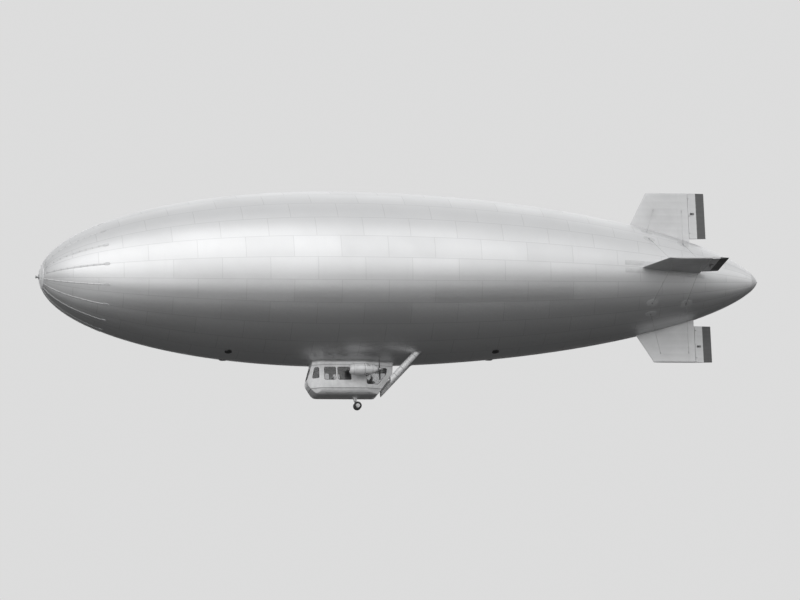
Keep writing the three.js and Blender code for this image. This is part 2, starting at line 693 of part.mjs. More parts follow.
function instrumentPanel() {
  return carBody(CAR_WALL + SEAT).intersect(stations(0, PANEL.aft, [PANEL.low, PANEL.high]));
}

// Wheel beside the pilot's seat that works the elevators, on its stand
function controlWheel() {
  const { station, y, z, radius, tube, tubeSides, sides } = CONTROL_WHEEL;
  const x = NOSE_X - station;
  const rim = closed(new THREE.TorusGeometry(radius, tube, tubeSides, sides));
  rim.rotateX(Math.PI / 2);
  rim.translate(x, y, z);
  const hub = rod(CONTROL_HUB.radius, y + CONTROL_HUB.inner, y + CONTROL_HUB.outer, 'y');
  hub.translate(x, 0, z);
  const spokes = [0, 1, 2].map((at) => {
    const spoke = rod(CONTROL_SPOKE_RADIUS, -radius, radius, 'x', 6);
    spoke.rotateY((at * Math.PI) / 3);
    spoke.translate(x, y, z);
    return solid(spoke);
  });
  const { half, inner, outer } = CONTROL_STAND;
  const stand = box([x - half, x + half], [y + inner, y + outer], [FLOOR_Z + SEAT / 2, z + half]);
  return join([solid(rim), solid(hub), stand, ...spokes]);
}

// Nacelle about a line along X: a cowl, open ahead, with a flat bed inside for the engine
function nacelleLine(offset) {
  const line = NACELLE.map(([station, radius]) => [NOSE_X - station, radius + offset]);
  return [[line[0][0], 0], ...line, [line.at(-1)[0], 0]];
}

function nacelleSolid(side, offset) {
  const geometry = spun(nacelleLine(offset), NACELLE_SIDES);
  geometry.translate(0, side * NACELLE_Y, NACELLE_Z);
  return solid(geometry);
}

function nacelle(side) {
  const y = side * NACELLE_Y;
  const fore = NOSE_X - NACELLE[0][0];
  const aft = NOSE_X - NACELLE.at(-1)[0];
  const hollow = nacelleSolid(side, -NACELLE_WALL)
    .intersect(stations(0, NACELLE_HOLLOW_END, [NACELLE_Z + ENGINE.low, FAR]));
  const intake = rod(NACELLE[0][1] - NACELLE_WALL, fore - INTAKE_DEPTH, fore + PAST, 'x', NACELLE_SIDES);
  intake.translate(0, y, NACELLE_Z);
  const bore = rod(SHAFT_RADIUS + PIN_PLAY, aft - PAST, aft + SHAFT_BORE_DEPTH, 'x');
  bore.translate(0, y, NACELLE_Z);
  return nacelleSolid(side, 0).subtract(join([hollow, solid(intake), solid(bore)]));
}

function engine(side) {
  const y = side * NACELLE_Y;
  const low = NACELLE_Z + ENGINE.low + SEAT;
  return box(
    [NOSE_X - ENGINE.aft, NOSE_X - ENGINE.fore],
    [y - ENGINE.half, y + ENGINE.half],
    [low, NACELLE_Z + ENGINE.high],
  );
}

function outrigger(side) {
  const upper = OUTRIGGER.map(([station, half]) => [NOSE_X - station, NACELLE_Z + half]);
  const lower = OUTRIGGER.map(([station, half]) => [NOSE_X - station, NACELLE_Z - half]).reverse();
  const span = side > 0 ? [OUTRIGGER_ROOT, NACELLE_Y] : [-NACELLE_Y, -OUTRIGGER_ROOT];
  return prism([...upper, ...lower], span[0], span[1], 'y')
    .subtract(carBody(-SEAT))
    .subtract(nacelleSolid(side, SEAT));
}

// Propeller about its own X axis: shaft, hub with spinner, and two twisted blades
function propeller() {
  const reach = PROPELLER_STATION - NACELLE.at(-1)[0] + SHAFT_BORE_DEPTH - SHAFT_GAP;
  const shaft = rod(SHAFT_RADIUS, 0, reach, 'x');
  const blades = [0, 1].map((at) => {
    const sections = BLADE_STATIONS.map(([radius, chord, thick, pitch]) => {
      const turn = new THREE.Matrix4().makeRotationZ((-pitch * Math.PI) / 180);
      return BLADE_SECTION.map(([along, off]) => (
        new THREE.Vector3(off * thick, along * chord, radius).applyMatrix4(turn)
      ));
    });
    const lengths = sections.slice(1).map((section, index) => {
      const part = closed(new ConvexGeometry([...sections[index], ...section]));
      part.rotateX(at * Math.PI);
      return solid(part);
    });
    return join(lengths);
  });
  return join([solid(shaft), solid(spun(SPINNER, SPINNER_SIDES)), ...blades]);
}

// A rod on a scoop's centre line, run on past its upper end
function scoopRod(side, radius, beyond) {
  const run = SCOOP_HIGH.station - SCOOP_LOW.station;
  const rise = SCOOP_HIGH.z - SCOOP_LOW.z;
  const geometry = rod(radius, -SCOOP_RUN_DOWN, Math.hypot(run, rise) + beyond, 'x', SCOOP_SIDES);
  geometry.rotateY(-Math.atan2(rise, -run));
  geometry.translate(NOSE_X - SCOOP_LOW.station, side * NACELLE_Y, SCOOP_LOW.z);
  return geometry;
}

// Scoop: its mouth is cut upright behind the propeller, its upper end stands open in the hull
function scoop(side) {
  const bore = solid(scoopRod(side, SCOOP_RADIUS - SCOOP_WALL, PAST));
  return solid(scoopRod(side, SCOOP_RADIUS, 0))
    .subtract(bore)
    .subtract(stations(0, SCOOP_LOW.station, [-FAR, FAR]));
}

function gearLeg() {
  const x = NOSE_X - GEAR_STATION;
  const top = CAR_BOTTOM - SEAT;
  const { half, halfWidth, thick } = LEG_FLANGE;
  const flange = box([x - half, x + half], [-halfWidth, halfWidth], [top - thick, top]);
  const outline = [
    [x + LEG.fore, top], [x - LEG.aft, top], [x - LEG.foot, LEG_FOOT_Z], [x + LEG.foot, LEG_FOOT_Z],
  ];
  const bore = rod(POST_RADIUS + PIN_PLAY, LEG_FOOT_Z - PAST, LEG_BORE_TOP, 'z');
  bore.translate(x, 0, 0);
  return prism(outline, -LEG.halfWidth, LEG.halfWidth, 'y').add(flange).subtract(solid(bore));
}

// Swivelling fork: a post in the leg, and an arm with the axle's bore
function axleFork() {
  const x = NOSE_X - GEAR_STATION;
  const top = LEG_FOOT_Z - FORK_GAP;
  const post = rod(POST_RADIUS, POST_LOW, LEG_BORE_TOP - POST_GAP, 'z');
  post.translate(x, 0, 0);
  const outline = [
    [x + FORK_TOP.fore, top], ...FORK.map(([ahead, z]) => [x + ahead, z]), [x + FORK_TOP.aft, top],
  ];
  const arm = prism(outline, -FORK_HALF, FORK_HALF, 'y');
  const bore = rod(AXLE_RADIUS + PIN_PLAY, -2 * FORK_HALF, 2 * FORK_HALF, 'y');
  bore.translate(x - WHEEL_TRAIL, 0, WHEEL_Z);
  return arm.add(solid(post)).subtract(solid(bore));
}

// Twin wheel about its own Y axis: the axle with a hub at each end
function wheelHubs() {
  const hubs = [1, -1].map((side) => {
    const ends = [side * (TYRE_MIDDLE - HUB.inner), side * (TYRE_MIDDLE + HUB.outer)];
    return solid(rod(RIM_RADIUS, Math.min(...ends), Math.max(...ends), 'y', WHEEL_SIDES));
  });
  const caps = solid(rod(HUB.capRadius, -TYRE_MIDDLE - HUB.cap, TYRE_MIDDLE + HUB.cap, 'y'));
  const gap = solid(rod(HUB.gapRadius, -FORK_HALF - CLEAR, FORK_HALF + CLEAR, 'y'));
  const axle = solid(rod(AXLE_RADIUS, -TYRE_MIDDLE, TYRE_MIDDLE, 'y'));
  return join([...hubs, caps.subtract(gap), axle]);
}

function tyre(side) {
  const line = [...TYRE.map(([out, radius]) => [-out, radius]), ...[...TYRE].reverse()];
  const points = [...line, line[0]].map(([y, radius]) => new THREE.Vector2(radius, y));
  const geometry = closed(new THREE.LatheGeometry(points, WHEEL_SIDES));
  geometry.translate(0, side * TYRE_MIDDLE, 0);
  return solid(geometry);
}

function handRail(side) {
  const y = side * RAIL.y;
  const bar = rod(RAIL.radius, NOSE_X - RAIL.aft, NOSE_X - RAIL.fore, 'x', RAIL_SIDES);
  bar.translate(0, y, RAIL.z);
  const { half, halfHeight, root } = BRACKET;
  const brackets = RAIL_BRACKETS.map((station) => {
    const x = NOSE_X - station;
    const span = side > 0 ? [root, y] : [y, -root];
    const height = [RAIL.z - halfHeight, RAIL.z + halfHeight];
    return box([x - half, x + half], span, height).subtract(carBody(-SEAT));
  });
  return join([solid(bar), ...brackets]);
}

function mesh(name, body, finish) {
  const [color, roughness, metalness] = FINISHES[finish];
  const material = new THREE.MeshStandardMaterial({ color, roughness, metalness });
  const made = new THREE.Mesh(geometryOf(body), material);
  made.name = name;
  return made;
}

function hullGroup() {
  const group = new THREE.Group();
  group.add(mesh('envelope', envelope(), 'fabric'));
  group.add(mesh('nose_dish', noseDish(), 'painted'));
  group.add(mesh('mooring_spindle', mooringSpindle(), 'steel'));
  for (const valve of VALVES) {
    group.add(mesh(valve.name, airValve(valve), 'dark'));
  }
  return group;
}

function tailGroup() {
  const group = new THREE.Group();
  for (const entry of FINS) {
    const pair = new THREE.Group();
    pair.rotation.x = (entry.turn * Math.PI) / 180;
    pair.add(mesh(entry.fin, fin(entry), 'fabric'));
    pair.add(mesh(entry.surface, controlSurface(entry), 'dark'));
    group.add(pair);
  }
  return group;
}

function carGroup() {
  const group = new THREE.Group();
  group.add(mesh('car_roof', carRoof(), 'painted'));
  group.add(mesh('car_belly', carBelly(), 'painted'));
  group.add(mesh('car_front_frame', carFront(), 'painted'));
  group.add(mesh('car_port_side', carSide(1), 'painted'));
  group.add(mesh('car_starboard_side', carSide(-1), 'painted'));
  group.add(mesh('car_rear_panel', carRear(), 'painted'));
  group.add(mesh('cabin_door', cabinDoor(), 'painted'));
  for (const entry of [...SIDE_PANES, ...FRONT_PANES]) {
    group.add(mesh(entry.name, pane(entry, 0, FRONT_SPLIT), 'glass'));
  }
  group.add(mesh(REAR_PANE.name, pane(REAR_PANE, REAR_SPLIT, FAR), 'glass'));
  group.add(mesh('window_door', pane({ y: -1, outline: DOOR_GLASS }), 'glass'));
  for (const entry of SEATS) {
    group.add(mesh(entry.name, seat(entry), 'seat'));
  }
  group.add(mesh('instrument_panel', instrumentPanel(), 'dark'));
  group.add(mesh('elevator_wheel', controlWheel(), 'dark'));
  group.add(mesh('hand_rail_port', handRail(1), 'steel'));
  group.add(mesh('hand_rail_starboard', handRail(-1), 'steel'));
  return group;
}

function powerGroup() {
  const group = new THREE.Group();
  for (const [name, side] of [['port', 1], ['starboard', -1]]) {
    group.add(mesh(`nacelle_${name}`, nacelle(side), 'painted'));
    group.add(mesh(`engine_${name}`, engine(side), 'steel'));
    group.add(mesh(`outrigger_${name}`, outrigger(side), 'painted'));
    group.add(mesh(`air_scoop_${name}`, scoop(side), 'painted'));
    const spinning = mesh(`propeller_${name}`, propeller(), 'dark');
    spinning.position.set(NOSE_X - PROPELLER_STATION, side * NACELLE_Y, NACELLE_Z);
    group.add(spinning);
  }
  return group;
}

function gearGroup() {
  const group = new THREE.Group();
  group.add(mesh('landing_gear_leg', gearLeg(), 'painted'));
  group.add(mesh('axle_fork', axleFork(), 'steel'));
  const wheels = new THREE.Group();
  wheels.position.set(NOSE_X - GEAR_STATION - WHEEL_TRAIL, 0, WHEEL_Z);
  wheels.add(mesh('wheel_hubs', wheelHubs(), 'painted'));
  wheels.add(mesh('tyre_port', tyre(1), 'rubber'));
  wheels.add(mesh('tyre_starboard', tyre(-1), 'rubber'));
  group.add(wheels);
  return group;
}

const airship = new THREE.Group();
airship.name = 'airship';
airship.add(hullGroup(), tailGroup(), carGroup(), powerGroup(), gearGroup());

export default airship;
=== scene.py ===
"""Dresses the airship's frame: its pieces, their finishes, and a stage to look at it on."""

import math

import bmesh
import bpy
from bpy.props import FloatProperty, FloatVectorProperty, IntProperty, PointerProperty
from mathutils import Matrix, Vector
from mathutils.bvhtree import BVHTree


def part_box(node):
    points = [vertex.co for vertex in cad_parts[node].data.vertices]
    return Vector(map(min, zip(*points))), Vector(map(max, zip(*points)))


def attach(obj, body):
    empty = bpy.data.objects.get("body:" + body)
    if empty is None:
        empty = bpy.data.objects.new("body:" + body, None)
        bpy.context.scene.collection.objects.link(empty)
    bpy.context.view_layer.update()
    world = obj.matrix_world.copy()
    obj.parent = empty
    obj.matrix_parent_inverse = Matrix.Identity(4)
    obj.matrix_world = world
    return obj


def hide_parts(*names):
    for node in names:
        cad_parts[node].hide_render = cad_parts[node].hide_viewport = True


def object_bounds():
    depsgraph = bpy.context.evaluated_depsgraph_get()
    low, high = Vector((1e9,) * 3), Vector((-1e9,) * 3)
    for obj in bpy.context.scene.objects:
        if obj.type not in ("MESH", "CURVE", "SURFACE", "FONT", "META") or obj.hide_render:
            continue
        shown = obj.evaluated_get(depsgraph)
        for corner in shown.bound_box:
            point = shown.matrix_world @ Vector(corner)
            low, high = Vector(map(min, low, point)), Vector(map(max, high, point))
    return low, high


bl_info = {
    "name": "Half-size airship",
    "version": (1, 0, 0),
    "blender": (4, 5, 0),
    "location": "View3D > Sidebar > Airship",
    "description": "Makes the skin, tail, car, power plant and gear of an airship at half size",
    "category": "Add Mesh",
}

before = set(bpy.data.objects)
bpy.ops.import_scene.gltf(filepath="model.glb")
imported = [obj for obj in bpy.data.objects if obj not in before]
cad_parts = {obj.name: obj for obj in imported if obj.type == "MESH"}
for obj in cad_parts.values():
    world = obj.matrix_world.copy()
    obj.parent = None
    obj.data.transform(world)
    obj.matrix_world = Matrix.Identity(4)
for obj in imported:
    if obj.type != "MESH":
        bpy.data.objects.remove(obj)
CAD_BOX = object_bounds()

# Hull, in metres: stations run aft from the nose, angles run from the keel up to port
HULL_LENGTH = 29.26
HULL_RADIUS = 3.5
FULLEST = 0.4 * HULL_LENGTH
TAIL_POWER = 1.28
NOSE_X = 0.461 * HULL_LENGTH
SLOPE_STEP = 0.002
SMALLEST_RADIUS = 0.05
WELD = 0.000004
TAU = math.tau
QUARTER = math.pi / 2
SIDES = (("port", 1), ("starboard", -1))

# Places that the frame gives
HINGE_X = -13.11114
FLOOR_Z = -4.6
CEILING_Z = -3.66
CAR_X = 1.15
# Pane: its body, and whether it faces sideways
PANES = {
    "window_port_front": ("ship", True),
    "window_port_middle": ("ship", True),
    "window_port_rear": ("ship", True),
    "window_starboard_front": ("ship", True),
    "window_starboard_rear": ("ship", True),
    "quarter_window_port": ("ship", True),
    "quarter_window_starboard": ("ship", True),
    "windshield_port": ("ship", False),
    "windshield_starboard": ("ship", False),
    "window_rear": ("ship", False),
    "window_door": ("door", True),
}
CAR_PANELS = ("car_roof", "car_belly", "car_front_frame", "car_port_side", "car_starboard_side",
              "car_rear_panel", "cabin_door")


# Shapes: a list of points and a list of faces


def joined(shapes):
    points, faces = [], []
    for own_points, own_faces in shapes:
        start = len(points)
        points.extend(own_points)
        faces.extend([tuple(start + corner for corner in face) for face in own_faces])
    return points, faces


def placed(shape, matrix):
    return [matrix @ Vector(point) for point in shape[0]], shape[1]


def set_at(place, angle, axis):
    """The matrix that turns a shape about an axis and moves it to a place."""
    return Matrix.Translation(place) @ Matrix.Rotation(angle, 4, axis)


def angles(count, shift=0.0):
    """Even angles round a circle, shifted by a share of the step between them."""
    return [TAU * (at + shift) / count for at in range(count)]


def skinned(rings, ends=True, loop=False):
    """Closed rings of equal count, joined one to the next."""
    count = len(rings[0])
    points = [Vector(point) for ring in rings for point in ring]
    faces = []
    for at in range(len(rings) if loop else len(rings) - 1):
        low, high = at * count, (at + 1) % len(rings) * count
        for side in range(count):
            after = (side + 1) % count
            faces.append((low + side, low + after, high + after, high + side))
    if ends and not loop:
        faces.append(tuple(range(count - 1, -1, -1)))
        faces.append(tuple(range((len(rings) - 1) * count, len(rings) * count)))
    return points, faces


def turned(line, sides=32, ring=False, at=(0, 0, 0), axis=(1, 0, 0)):
    """Pairs of a place along the axis and a radius, turned about it."""
    rings = [[(along, radius * math.cos(turn), radius * math.sin(turn)) for turn in angles(sides)]
             for along, radius in line]
    way = Vector(axis).to_track_quat("X", "Z").to_matrix().to_4x4()
    return placed(skinned(rings, ends=False, loop=ring), Matrix.Translation(at) @ way)


def tube(path, radius, sides=8, loop=False):
    """A round rod that follows points; radius is one number or one for each point."""
    path = [Vector(point) for point in path]
    radii = radius if isinstance(radius, (list, tuple)) else [radius] * len(path)
    count = len(path)
    rings = []
    side = None
    for at, point in enumerate(path):
        if loop:
            run = path[(at + 1) % count] - path[at - 1]
        else:
            run = path[min(at + 1, count - 1)] - path[max(at - 1, 0)]
        run.normalize()
        if side is None:
            side = run.orthogonal().normalized()
        side = (side - run * side.dot(run)).normalized()
        other = run.cross(side)
        ways = [side * math.cos(turn) + other * math.sin(turn) for turn in angles(sides)]
        rings.append([point + way * radii[at] for way in ways])
    return skinned(rings, ends=not loop, loop=loop)


def slab(outline, low, high, soft, at=(0, 0, 0)):
    """An outline of pairs raised from low to high, its long edges softened."""
    middle = Vector((sum(u for u, v in outline), sum(v for u, v in outline))) / len(outline)
    reach = max((Vector(pair) - middle).length for pair in outline)
    less = 1 - soft / reach
    rings = []
    for height, share in ((low, less), (low + soft, 1), (high - soft, 1), (high, less)):
        rings.append([(*(middle + (Vector(pair) - middle) * share), height) for pair in outline])
    return placed(skinned(rings), Matrix.Translation(at))


def round_rectangle(width, height, corner, steps=4):
    """A rectangle about the origin with its corners turned."""
    outline = []
    for turn, (u, v) in enumerate(((1, 1), (-1, 1), (-1, -1), (1, -1))):
        for step in range(steps + 1):
            angle = (turn + step / steps) * math.pi / 2
            along = u * (width / 2 - corner) + corner * math.cos(angle)
            outline.append((along, v * (height / 2 - corner) + corner * math.sin(angle)))
    return outline


def block(centre, size, soft):
    """A box with its edges rounded."""
    outline = round_rectangle(size[0], size[1], min(soft * 1.5, min(size[:2]) * 0.45))
    return slab(outline, -size[2] / 2, size[2] / 2, soft, at=centre)


def dome(at, normal, radius, rise=0.5, sides=8):
    """A rivet or screw head."""
    line = [(-radius * 0.3, radius), (0, radius), (radius * rise * 0.7, radius * 0.7), (radius * rise, 0)]
    return turned(line, sides, at=at, axis=normal)


def smoothed(line, steps):
    """A curve through pairs of numbers, with steps between each two."""
    points = [Vector(pair) for pair in line]
    points = [points[0] * 2 - points[1], *points, points[-1] * 2 - points[-2]]
    curve = []
    for at in range(1, len(points) - 2):
        before, start, end, after = points[at - 1 : at + 3]
        for step in range(steps):
            t = step / steps
            square = (2 * before - 5 * start + 4 * end - after) * t**2
            cube = (3 * start - before - 3 * end + after) * t**3
            curve.append(tuple(0.5 * (2 * start + (end - before) * t + square + cube)))
    return [*curve, tuple(points[-2])]


def dressed(name, mesh, body, finish, replaces, angle):
    """Shades a mesh, makes it an object with a finish, and rides it on its body."""
    mesh.shade_smooth()
    mesh.set_sharp_from_angle(angle=math.radians(angle))
    mesh.materials.append(bpy.data.materials[finish])
    made = bpy.data.objects.new(name, mesh)
    bpy.context.scene.collection.objects.link(made)
    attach(made, body)
    if replaces:
        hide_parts(*replaces)
    return made


def piece(name, shape, body, finish, replaces=(), angle=38):
    """Makes a mesh object that rides on a body and takes a finish."""
    mesh = bpy.data.meshes.new(name)
    mesh.from_pydata([tuple(point) for point in shape[0]], [], shape[1])
    edit = bmesh.new()
    edit.from_mesh(mesh)
    bmesh.ops.remove_doubles(edit, verts=edit.verts, dist=WELD)
    bmesh.ops.recalc_face_normals(edit, faces=edit.faces)
    edit.to_mesh(mesh)
    edit.free()
    return dressed(name, mesh, body, finish, replaces, angle)


def softened(node, body, finish, width, angle=32):
    """A copy of a frame node with its sharp edges rounded, standing in for it."""
    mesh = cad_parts[node].data.copy()
    mesh.name = node + "_soft"
    edit = bmesh.new()
    edit.from_mesh(mesh)
    bmesh.ops.remove_doubles(edit, verts=edit.verts, dist=0.00002)
    bmesh.ops.dissolve_limit(edit, angle_limit=0.003, verts=edit.verts, edges=edit.edges)
    pairs = [edge for edge in edit.edges if len(edge.link_faces) == 2]
    sharp = [edge for edge in pairs if edge.calc_face_angle(0) > math.radians(angle)]
    bmesh.ops.bevel(edit, geom=sharp, offset=width, offset_type="OFFSET", segments=2, profile=0.5,
                    affect="EDGES", clamp_overlap=True)
    bmesh.ops.remove_doubles(edit, verts=edit.verts, dist=0.00001)
    edit.to_mesh(mesh)
    edit.free()
    mesh.materials.clear()
    return dressed(node + "_soft", mesh, body, finish, [node], angle)


# The hull's own form


def hull_radius(station):
    if station < FULLEST:
        return HULL_RADIUS * math.sqrt(max(0, 1 - (1 - station / FULLEST) ** 2))
    share = min(1, (station - FULLEST) / (HULL_LENGTH - FULLEST))
    return HULL_RADIUS * max(0, 1 - share * share) ** (TAIL_POWER / 2)


def skin_point(station, angle, lift=0.0):
    """A point on the hull, or lifted off it along its normal."""
    fore, aft = max(station - SLOPE_STEP, 0), min(station + SLOPE_STEP, HULL_LENGTH)
    slope = (hull_radius(aft) - hull_radius(fore)) / (aft - fore)
    length = math.hypot(slope, 1)
    radius = hull_radius(station) + lift / length
    x = NOSE_X - station + lift * slope / length
    return Vector((x, radius * math.sin(angle), -radius * math.cos(angle)))


def skin_normal(station, angle):
    return (skin_point(station, angle, 0.01) - skin_point(station, angle)).normalized()


def on_skin(station, angle, height):
    """A point at a height over the cloth, which swells between two seams."""
    sizes = bpy.context.scene.airship_hull
    across = 2 * (angle / TAU * sizes.gores % 1) - 1
    swell = sizes.gore_rise * hull_radius(station) / HULL_RADIUS * (1 - across**2)
    return skin_point(station, angle, swell + height)


# How deep strips and pads are sunk in the skin, and their backs: a place across and a share of the height
SUNK = -0.004
STRIP_BACK = ((0.97, 0.55), (0.6, 0.95), (0, 1), (-0.6, 0.95), (-0.97, 0.55))
STRAP_BACK = ((0.98, 0.2), (0.5, 0.35), (0.38, 1), (-0.38, 1), (-0.5, 0.35), (-0.98, 0.2))


def skin_strip(fore, aft, angle, half, lift, rows, taper=0.0, beside=0.0, back=STRIP_BACK):
    """A strip along the hull between two stations, half as wide as it says, and set beside an angle."""
    rings = []
    for row in range(rows + 1):
        share = row / rows
        station = fore + (aft - fore) * share
        ease = min(1, share / taper, (1 - share) / taper) if taper else 1
        radius = max(hull_radius(station), SMALLEST_RADIUS)
        reach = half / radius
        middle = angle + beside / radius
        top = SUNK + (lift - SUNK) * max(ease, 0.05) ** 0.5
        ring = []
        for place, high in ((1, 0), *back, (-1, 0)):
            ring.append(on_skin(station, middle + reach * place, SUNK + (top - SUNK) * high))
        rings.append(ring)
    return skinned(rings)


def skin_pad(station, angle, length, width, lift=0.004):
    """An oval pad cemented to the hull."""
    rings = []
    reach = max(hull_radius(station), SMALLEST_RADIUS)
    for share, height in ((1, SUNK), (1, lift * 0.5), (0.93, lift), (0.5, lift), (0.02, lift)):
        ring = []
        for turn in angles(24):
            aft = station + share * length / 2 * math.cos(turn)
            ring.append(on_skin(aft, angle + share * width / 2 / reach * math.sin(turn), height))
        rings.append(ring)
    return skinned(rings)


# Finishes


class Nodes:
    """A node tree, with short ways to add nodes and join them."""

    def __init__(self, tree):
        self.tree = tree
        self.column = 0

    def add(self, kind, inputs=None, **settings):
        made = self.tree.nodes.new("ShaderNode" + kind)
        made.location = (self.column * 190, 0)
        self.column += 1
        for name, value in settings.items():
            setattr(made, name, value)
        for name, value in (inputs or {}).items():
            if isinstance(value, bpy.types.NodeSocket):
                self.join(value, made.inputs[name])
            else:
                made.inputs[name].default_value = value
        return made

    def join(self, value, socket):
        self.tree.links.new(value, socket)

    def sum(self, operation, *values):
        return self.add("Math", dict(enumerate(values)), operation=operation).outputs[0]

    def times(self, *values):
        return self.sum("MULTIPLY", *values)

    def plus(self, *values):
        return self.sum("ADD", *values)

    def over(self, *values):
        return self.sum("DIVIDE", *values)

    def ramp(self, value, low, high, out_low=0.0, out_high=1.0):
        inputs = {"Value": value, "From Min": low, "From Max": high, "To Min": out_low, "To Max": out_high}
        return self.add("MapRange", inputs, interpolation_type="SMOOTHSTEP").outputs[0]

    def mix(self, factor, first, second):
        return self.add("Mix", {0: factor, 6: first, 7: second}, data_type="RGBA").outputs[2]

    def place(self):
        return self.add("TexCoord").outputs["Object"]

    def axes(self):
        return self.add("SeparateXYZ", {0: self.place()}).outputs

    def noise(self, place, scale, detail=4.0, rough=0.55):
        inputs = {"Vector": place, "Scale": scale, "Detail": detail, "Roughness": rough}
        return self.add("TexNoise", inputs).outputs["Fac"]

    def bump(self, height, strength, distance, surface):
        made = self.add("Bump", {"Height": height, "Strength": strength, "Distance": distance})
        self.join(made.outputs[0], surface["Normal"])


def new_group(name, inputs, outputs):
    """A shader node group with its sockets, ready to be filled."""
    tree = bpy.data.node_groups.new(name, "ShaderNodeTree")
    for label, value in inputs.items():
        tree.interface.new_socket(label, in_out="INPUT", socket_type="NodeSocketFloat").default_value = value
    for label in outputs:
        tree.interface.new_socket(label, in_out="OUTPUT", socket_type="NodeSocketFloat")
    given = tree.nodes.new("NodeGroupInput").outputs
    taken = tree.nodes.new("NodeGroupOutput").inputs
    return Nodes(tree), given, taken


def weave_group():
    """Crossed threads, as a height."""
    nodes, given, taken = new_group("Cloth weave", {"Threads": 300.0}, ["Height"])
    axes = nodes.axes()
    turns = nodes.times(given["Threads"], TAU)
    across = nodes.sum("SINE", nodes.times(axes[0], turns))
    up = nodes.sum("SINE", nodes.times(nodes.plus(axes[1], axes[2]), turns))
    nodes.join(nodes.sum("MULTIPLY_ADD", nodes.times(across, up), 0.5, 0.5), taken["Height"])


def weather_group():
    """Soot, streaks that run down, and fine grain."""
    inputs = {"Cloud Size": 1.0, "Streak Size": 1.0, "Grain Size": 60.0}
    nodes, given, taken = new_group("Weather", inputs, ["Clouds", "Streaks", "Grain"])
    place = nodes.place()
    clouds = nodes.ramp(nodes.noise(place, given["Cloud Size"], 6.0, 0.6), 0.36, 0.72)
    tall = nodes.add("VectorMath", {0: place, 1: (1.0, 1.0, 0.12)}, operation="MULTIPLY").outputs[0]
    streaks = nodes.ramp(nodes.noise(tall, given["Streak Size"], 5.0, 0.7), 0.5, 0.78)
    grain = nodes.noise(place, given["Grain Size"], 3.0, 0.6)
    for value, label in ((clouds, "Clouds"), (streaks, "Streaks"), (grain, "Grain")):
        nodes.join(value, taken[label])


def wear_group():
    """Edges and raised places that rub, broken up by noise."""
    nodes, given, taken = new_group("Edge wear", {"Sharpness": 0.54, "Break Size": 14.0}, ["Wear"])
    point = nodes.add("NewGeometry").outputs["Pointiness"]
    low = given["Sharpness"]
    inputs = {"Value": point, "From Min": low, "From Max": nodes.plus(low, 0.05)}
    edge = nodes.add("MapRange", inputs).outputs[0]
    patches = nodes.ramp(nodes.noise(nodes.place(), given["Break Size"], 5.0, 0.65), 0.42, 0.62)
    nodes.join(nodes.times(edge, patches), taken["Wear"])


def gore_group():
    """Seams of a hull about the X axis: lengthwise ones, staggered cross ones, and a tone for each panel."""
    inputs = {"Gores": 24.0, "Panel Length": 1.9, "Seam Width": 0.016}
    nodes, given, taken = new_group("Gore seams", inputs, ["Seam", "Tone"])
    axes = nodes.axes()
    turn = nodes.sum("ARCTAN2", axes[1], nodes.times(axes[2], -1.0))
    place = nodes.times(nodes.plus(nodes.over(turn, TAU), 0.5), given["Gores"])
    radius = nodes.sum("SQRT", nodes.plus(nodes.times(axes[1], axes[1]), nodes.times(axes[2], axes[2])))
    pitch = nodes.over(nodes.times(radius, TAU), given["Gores"])
    gore = nodes.sum("FLOOR", place)
    reach = nodes.times(nodes.sum("PINGPONG", place, 0.5), pitch)
    stagger = nodes.times(nodes.sum("MODULO", gore, 2.0), 0.5)
    row = nodes.plus(nodes.over(axes[0], given["Panel Length"]), stagger)
    cross = nodes.times(nodes.sum("PINGPONG", row, 0.5), given["Panel Length"])
    nearest = nodes.sum("MINIMUM", reach, cross)
    half = nodes.times(given["Seam Width"], 0.5)
    nodes.join(nodes.ramp(nearest, half, given["Seam Width"], 1.0, 0.0), taken["Seam"])
    where = nodes.add("CombineXYZ", {0: gore, 1: nodes.sum("FLOOR", row)}).outputs[0]
    tone = nodes.add("TexWhiteNoise", {"Vector": where}, noise_dimensions="3D").outputs["Value"]
    nodes.join(tone, taken["Tone"])


# Finish: slot, colour, darker colour, roughness, metallic, how much dirt and wear shows
FINISHES = {
    "envelope cloth": ("envelope_fabric", 0.68, 0.40, 0.42, 0.85, 0.12, 0.0),
    "patch cloth": ("envelope_fabric", 0.60, 0.34, 0.5, 0.7, 0.2, 0.0),
    "fin cloth": ("fin_fabric", 0.56, 0.28, 0.46, 0.2, 0.35, 0.1),
    "surface cloth": ("surface_fabric", 0.085, 0.05, 0.5, 0.1, 0.4, 0.15),
    "car paint": ("car_paint", 0.68, 0.34, 0.32, 0.05, 0.3, 0.4),
    # The belly's darker grey is partly the car's two-tone paint and partly painted shade for the underside
    # that hangs in shadow
    "belly paint with painted shade": ("car_paint", 0.46, 0.26, 0.34, 0.05, 0.3, 0.3),
    "dark paint": ("dark_paint", 0.035, 0.02, 0.4, 0.1, 0.4, 0.12),
    "grey paint": ("dark_paint", 0.16, 0.09, 0.42, 0.1, 0.4, 0.2),
    "bare steel": ("steel", 0.42, 0.14, 0.34, 0.9, 0.4, 0.4),
    "cast metal": ("engine_metal", 0.22, 0.06, 0.5, 0.8, 0.6, 0.5),
    "seat cloth": ("seat_cloth", 0.055, 0.03, 0.85, 0.0, 0.3, 0.2),
    "seam piping": ("seat_cloth", 0.10, 0.05, 0.6, 0.0, 0.3, 0.3),
    "floor mat": ("dark_paint", 0.05, 0.03, 0.9, 0.0, 0.5, 0.2),
    "dial white": ("dark_paint", 0.7, 0.5, 0.4, 0.0, 0.1, 0.0),
    "gasket rubber": ("tyre", 0.02, 0.03, 0.6, 0.0, 0.4, 0.2),
    "tyre rubber": ("tyre", 0.022, 0.07, 0.82, 0.0, 0.6, 0.3),
}
SLOTS = {name: row[0] for name, row in FINISHES.items()}
SLOTS["window glass"] = "window"
SLOTS["lamp glass"] = "window"
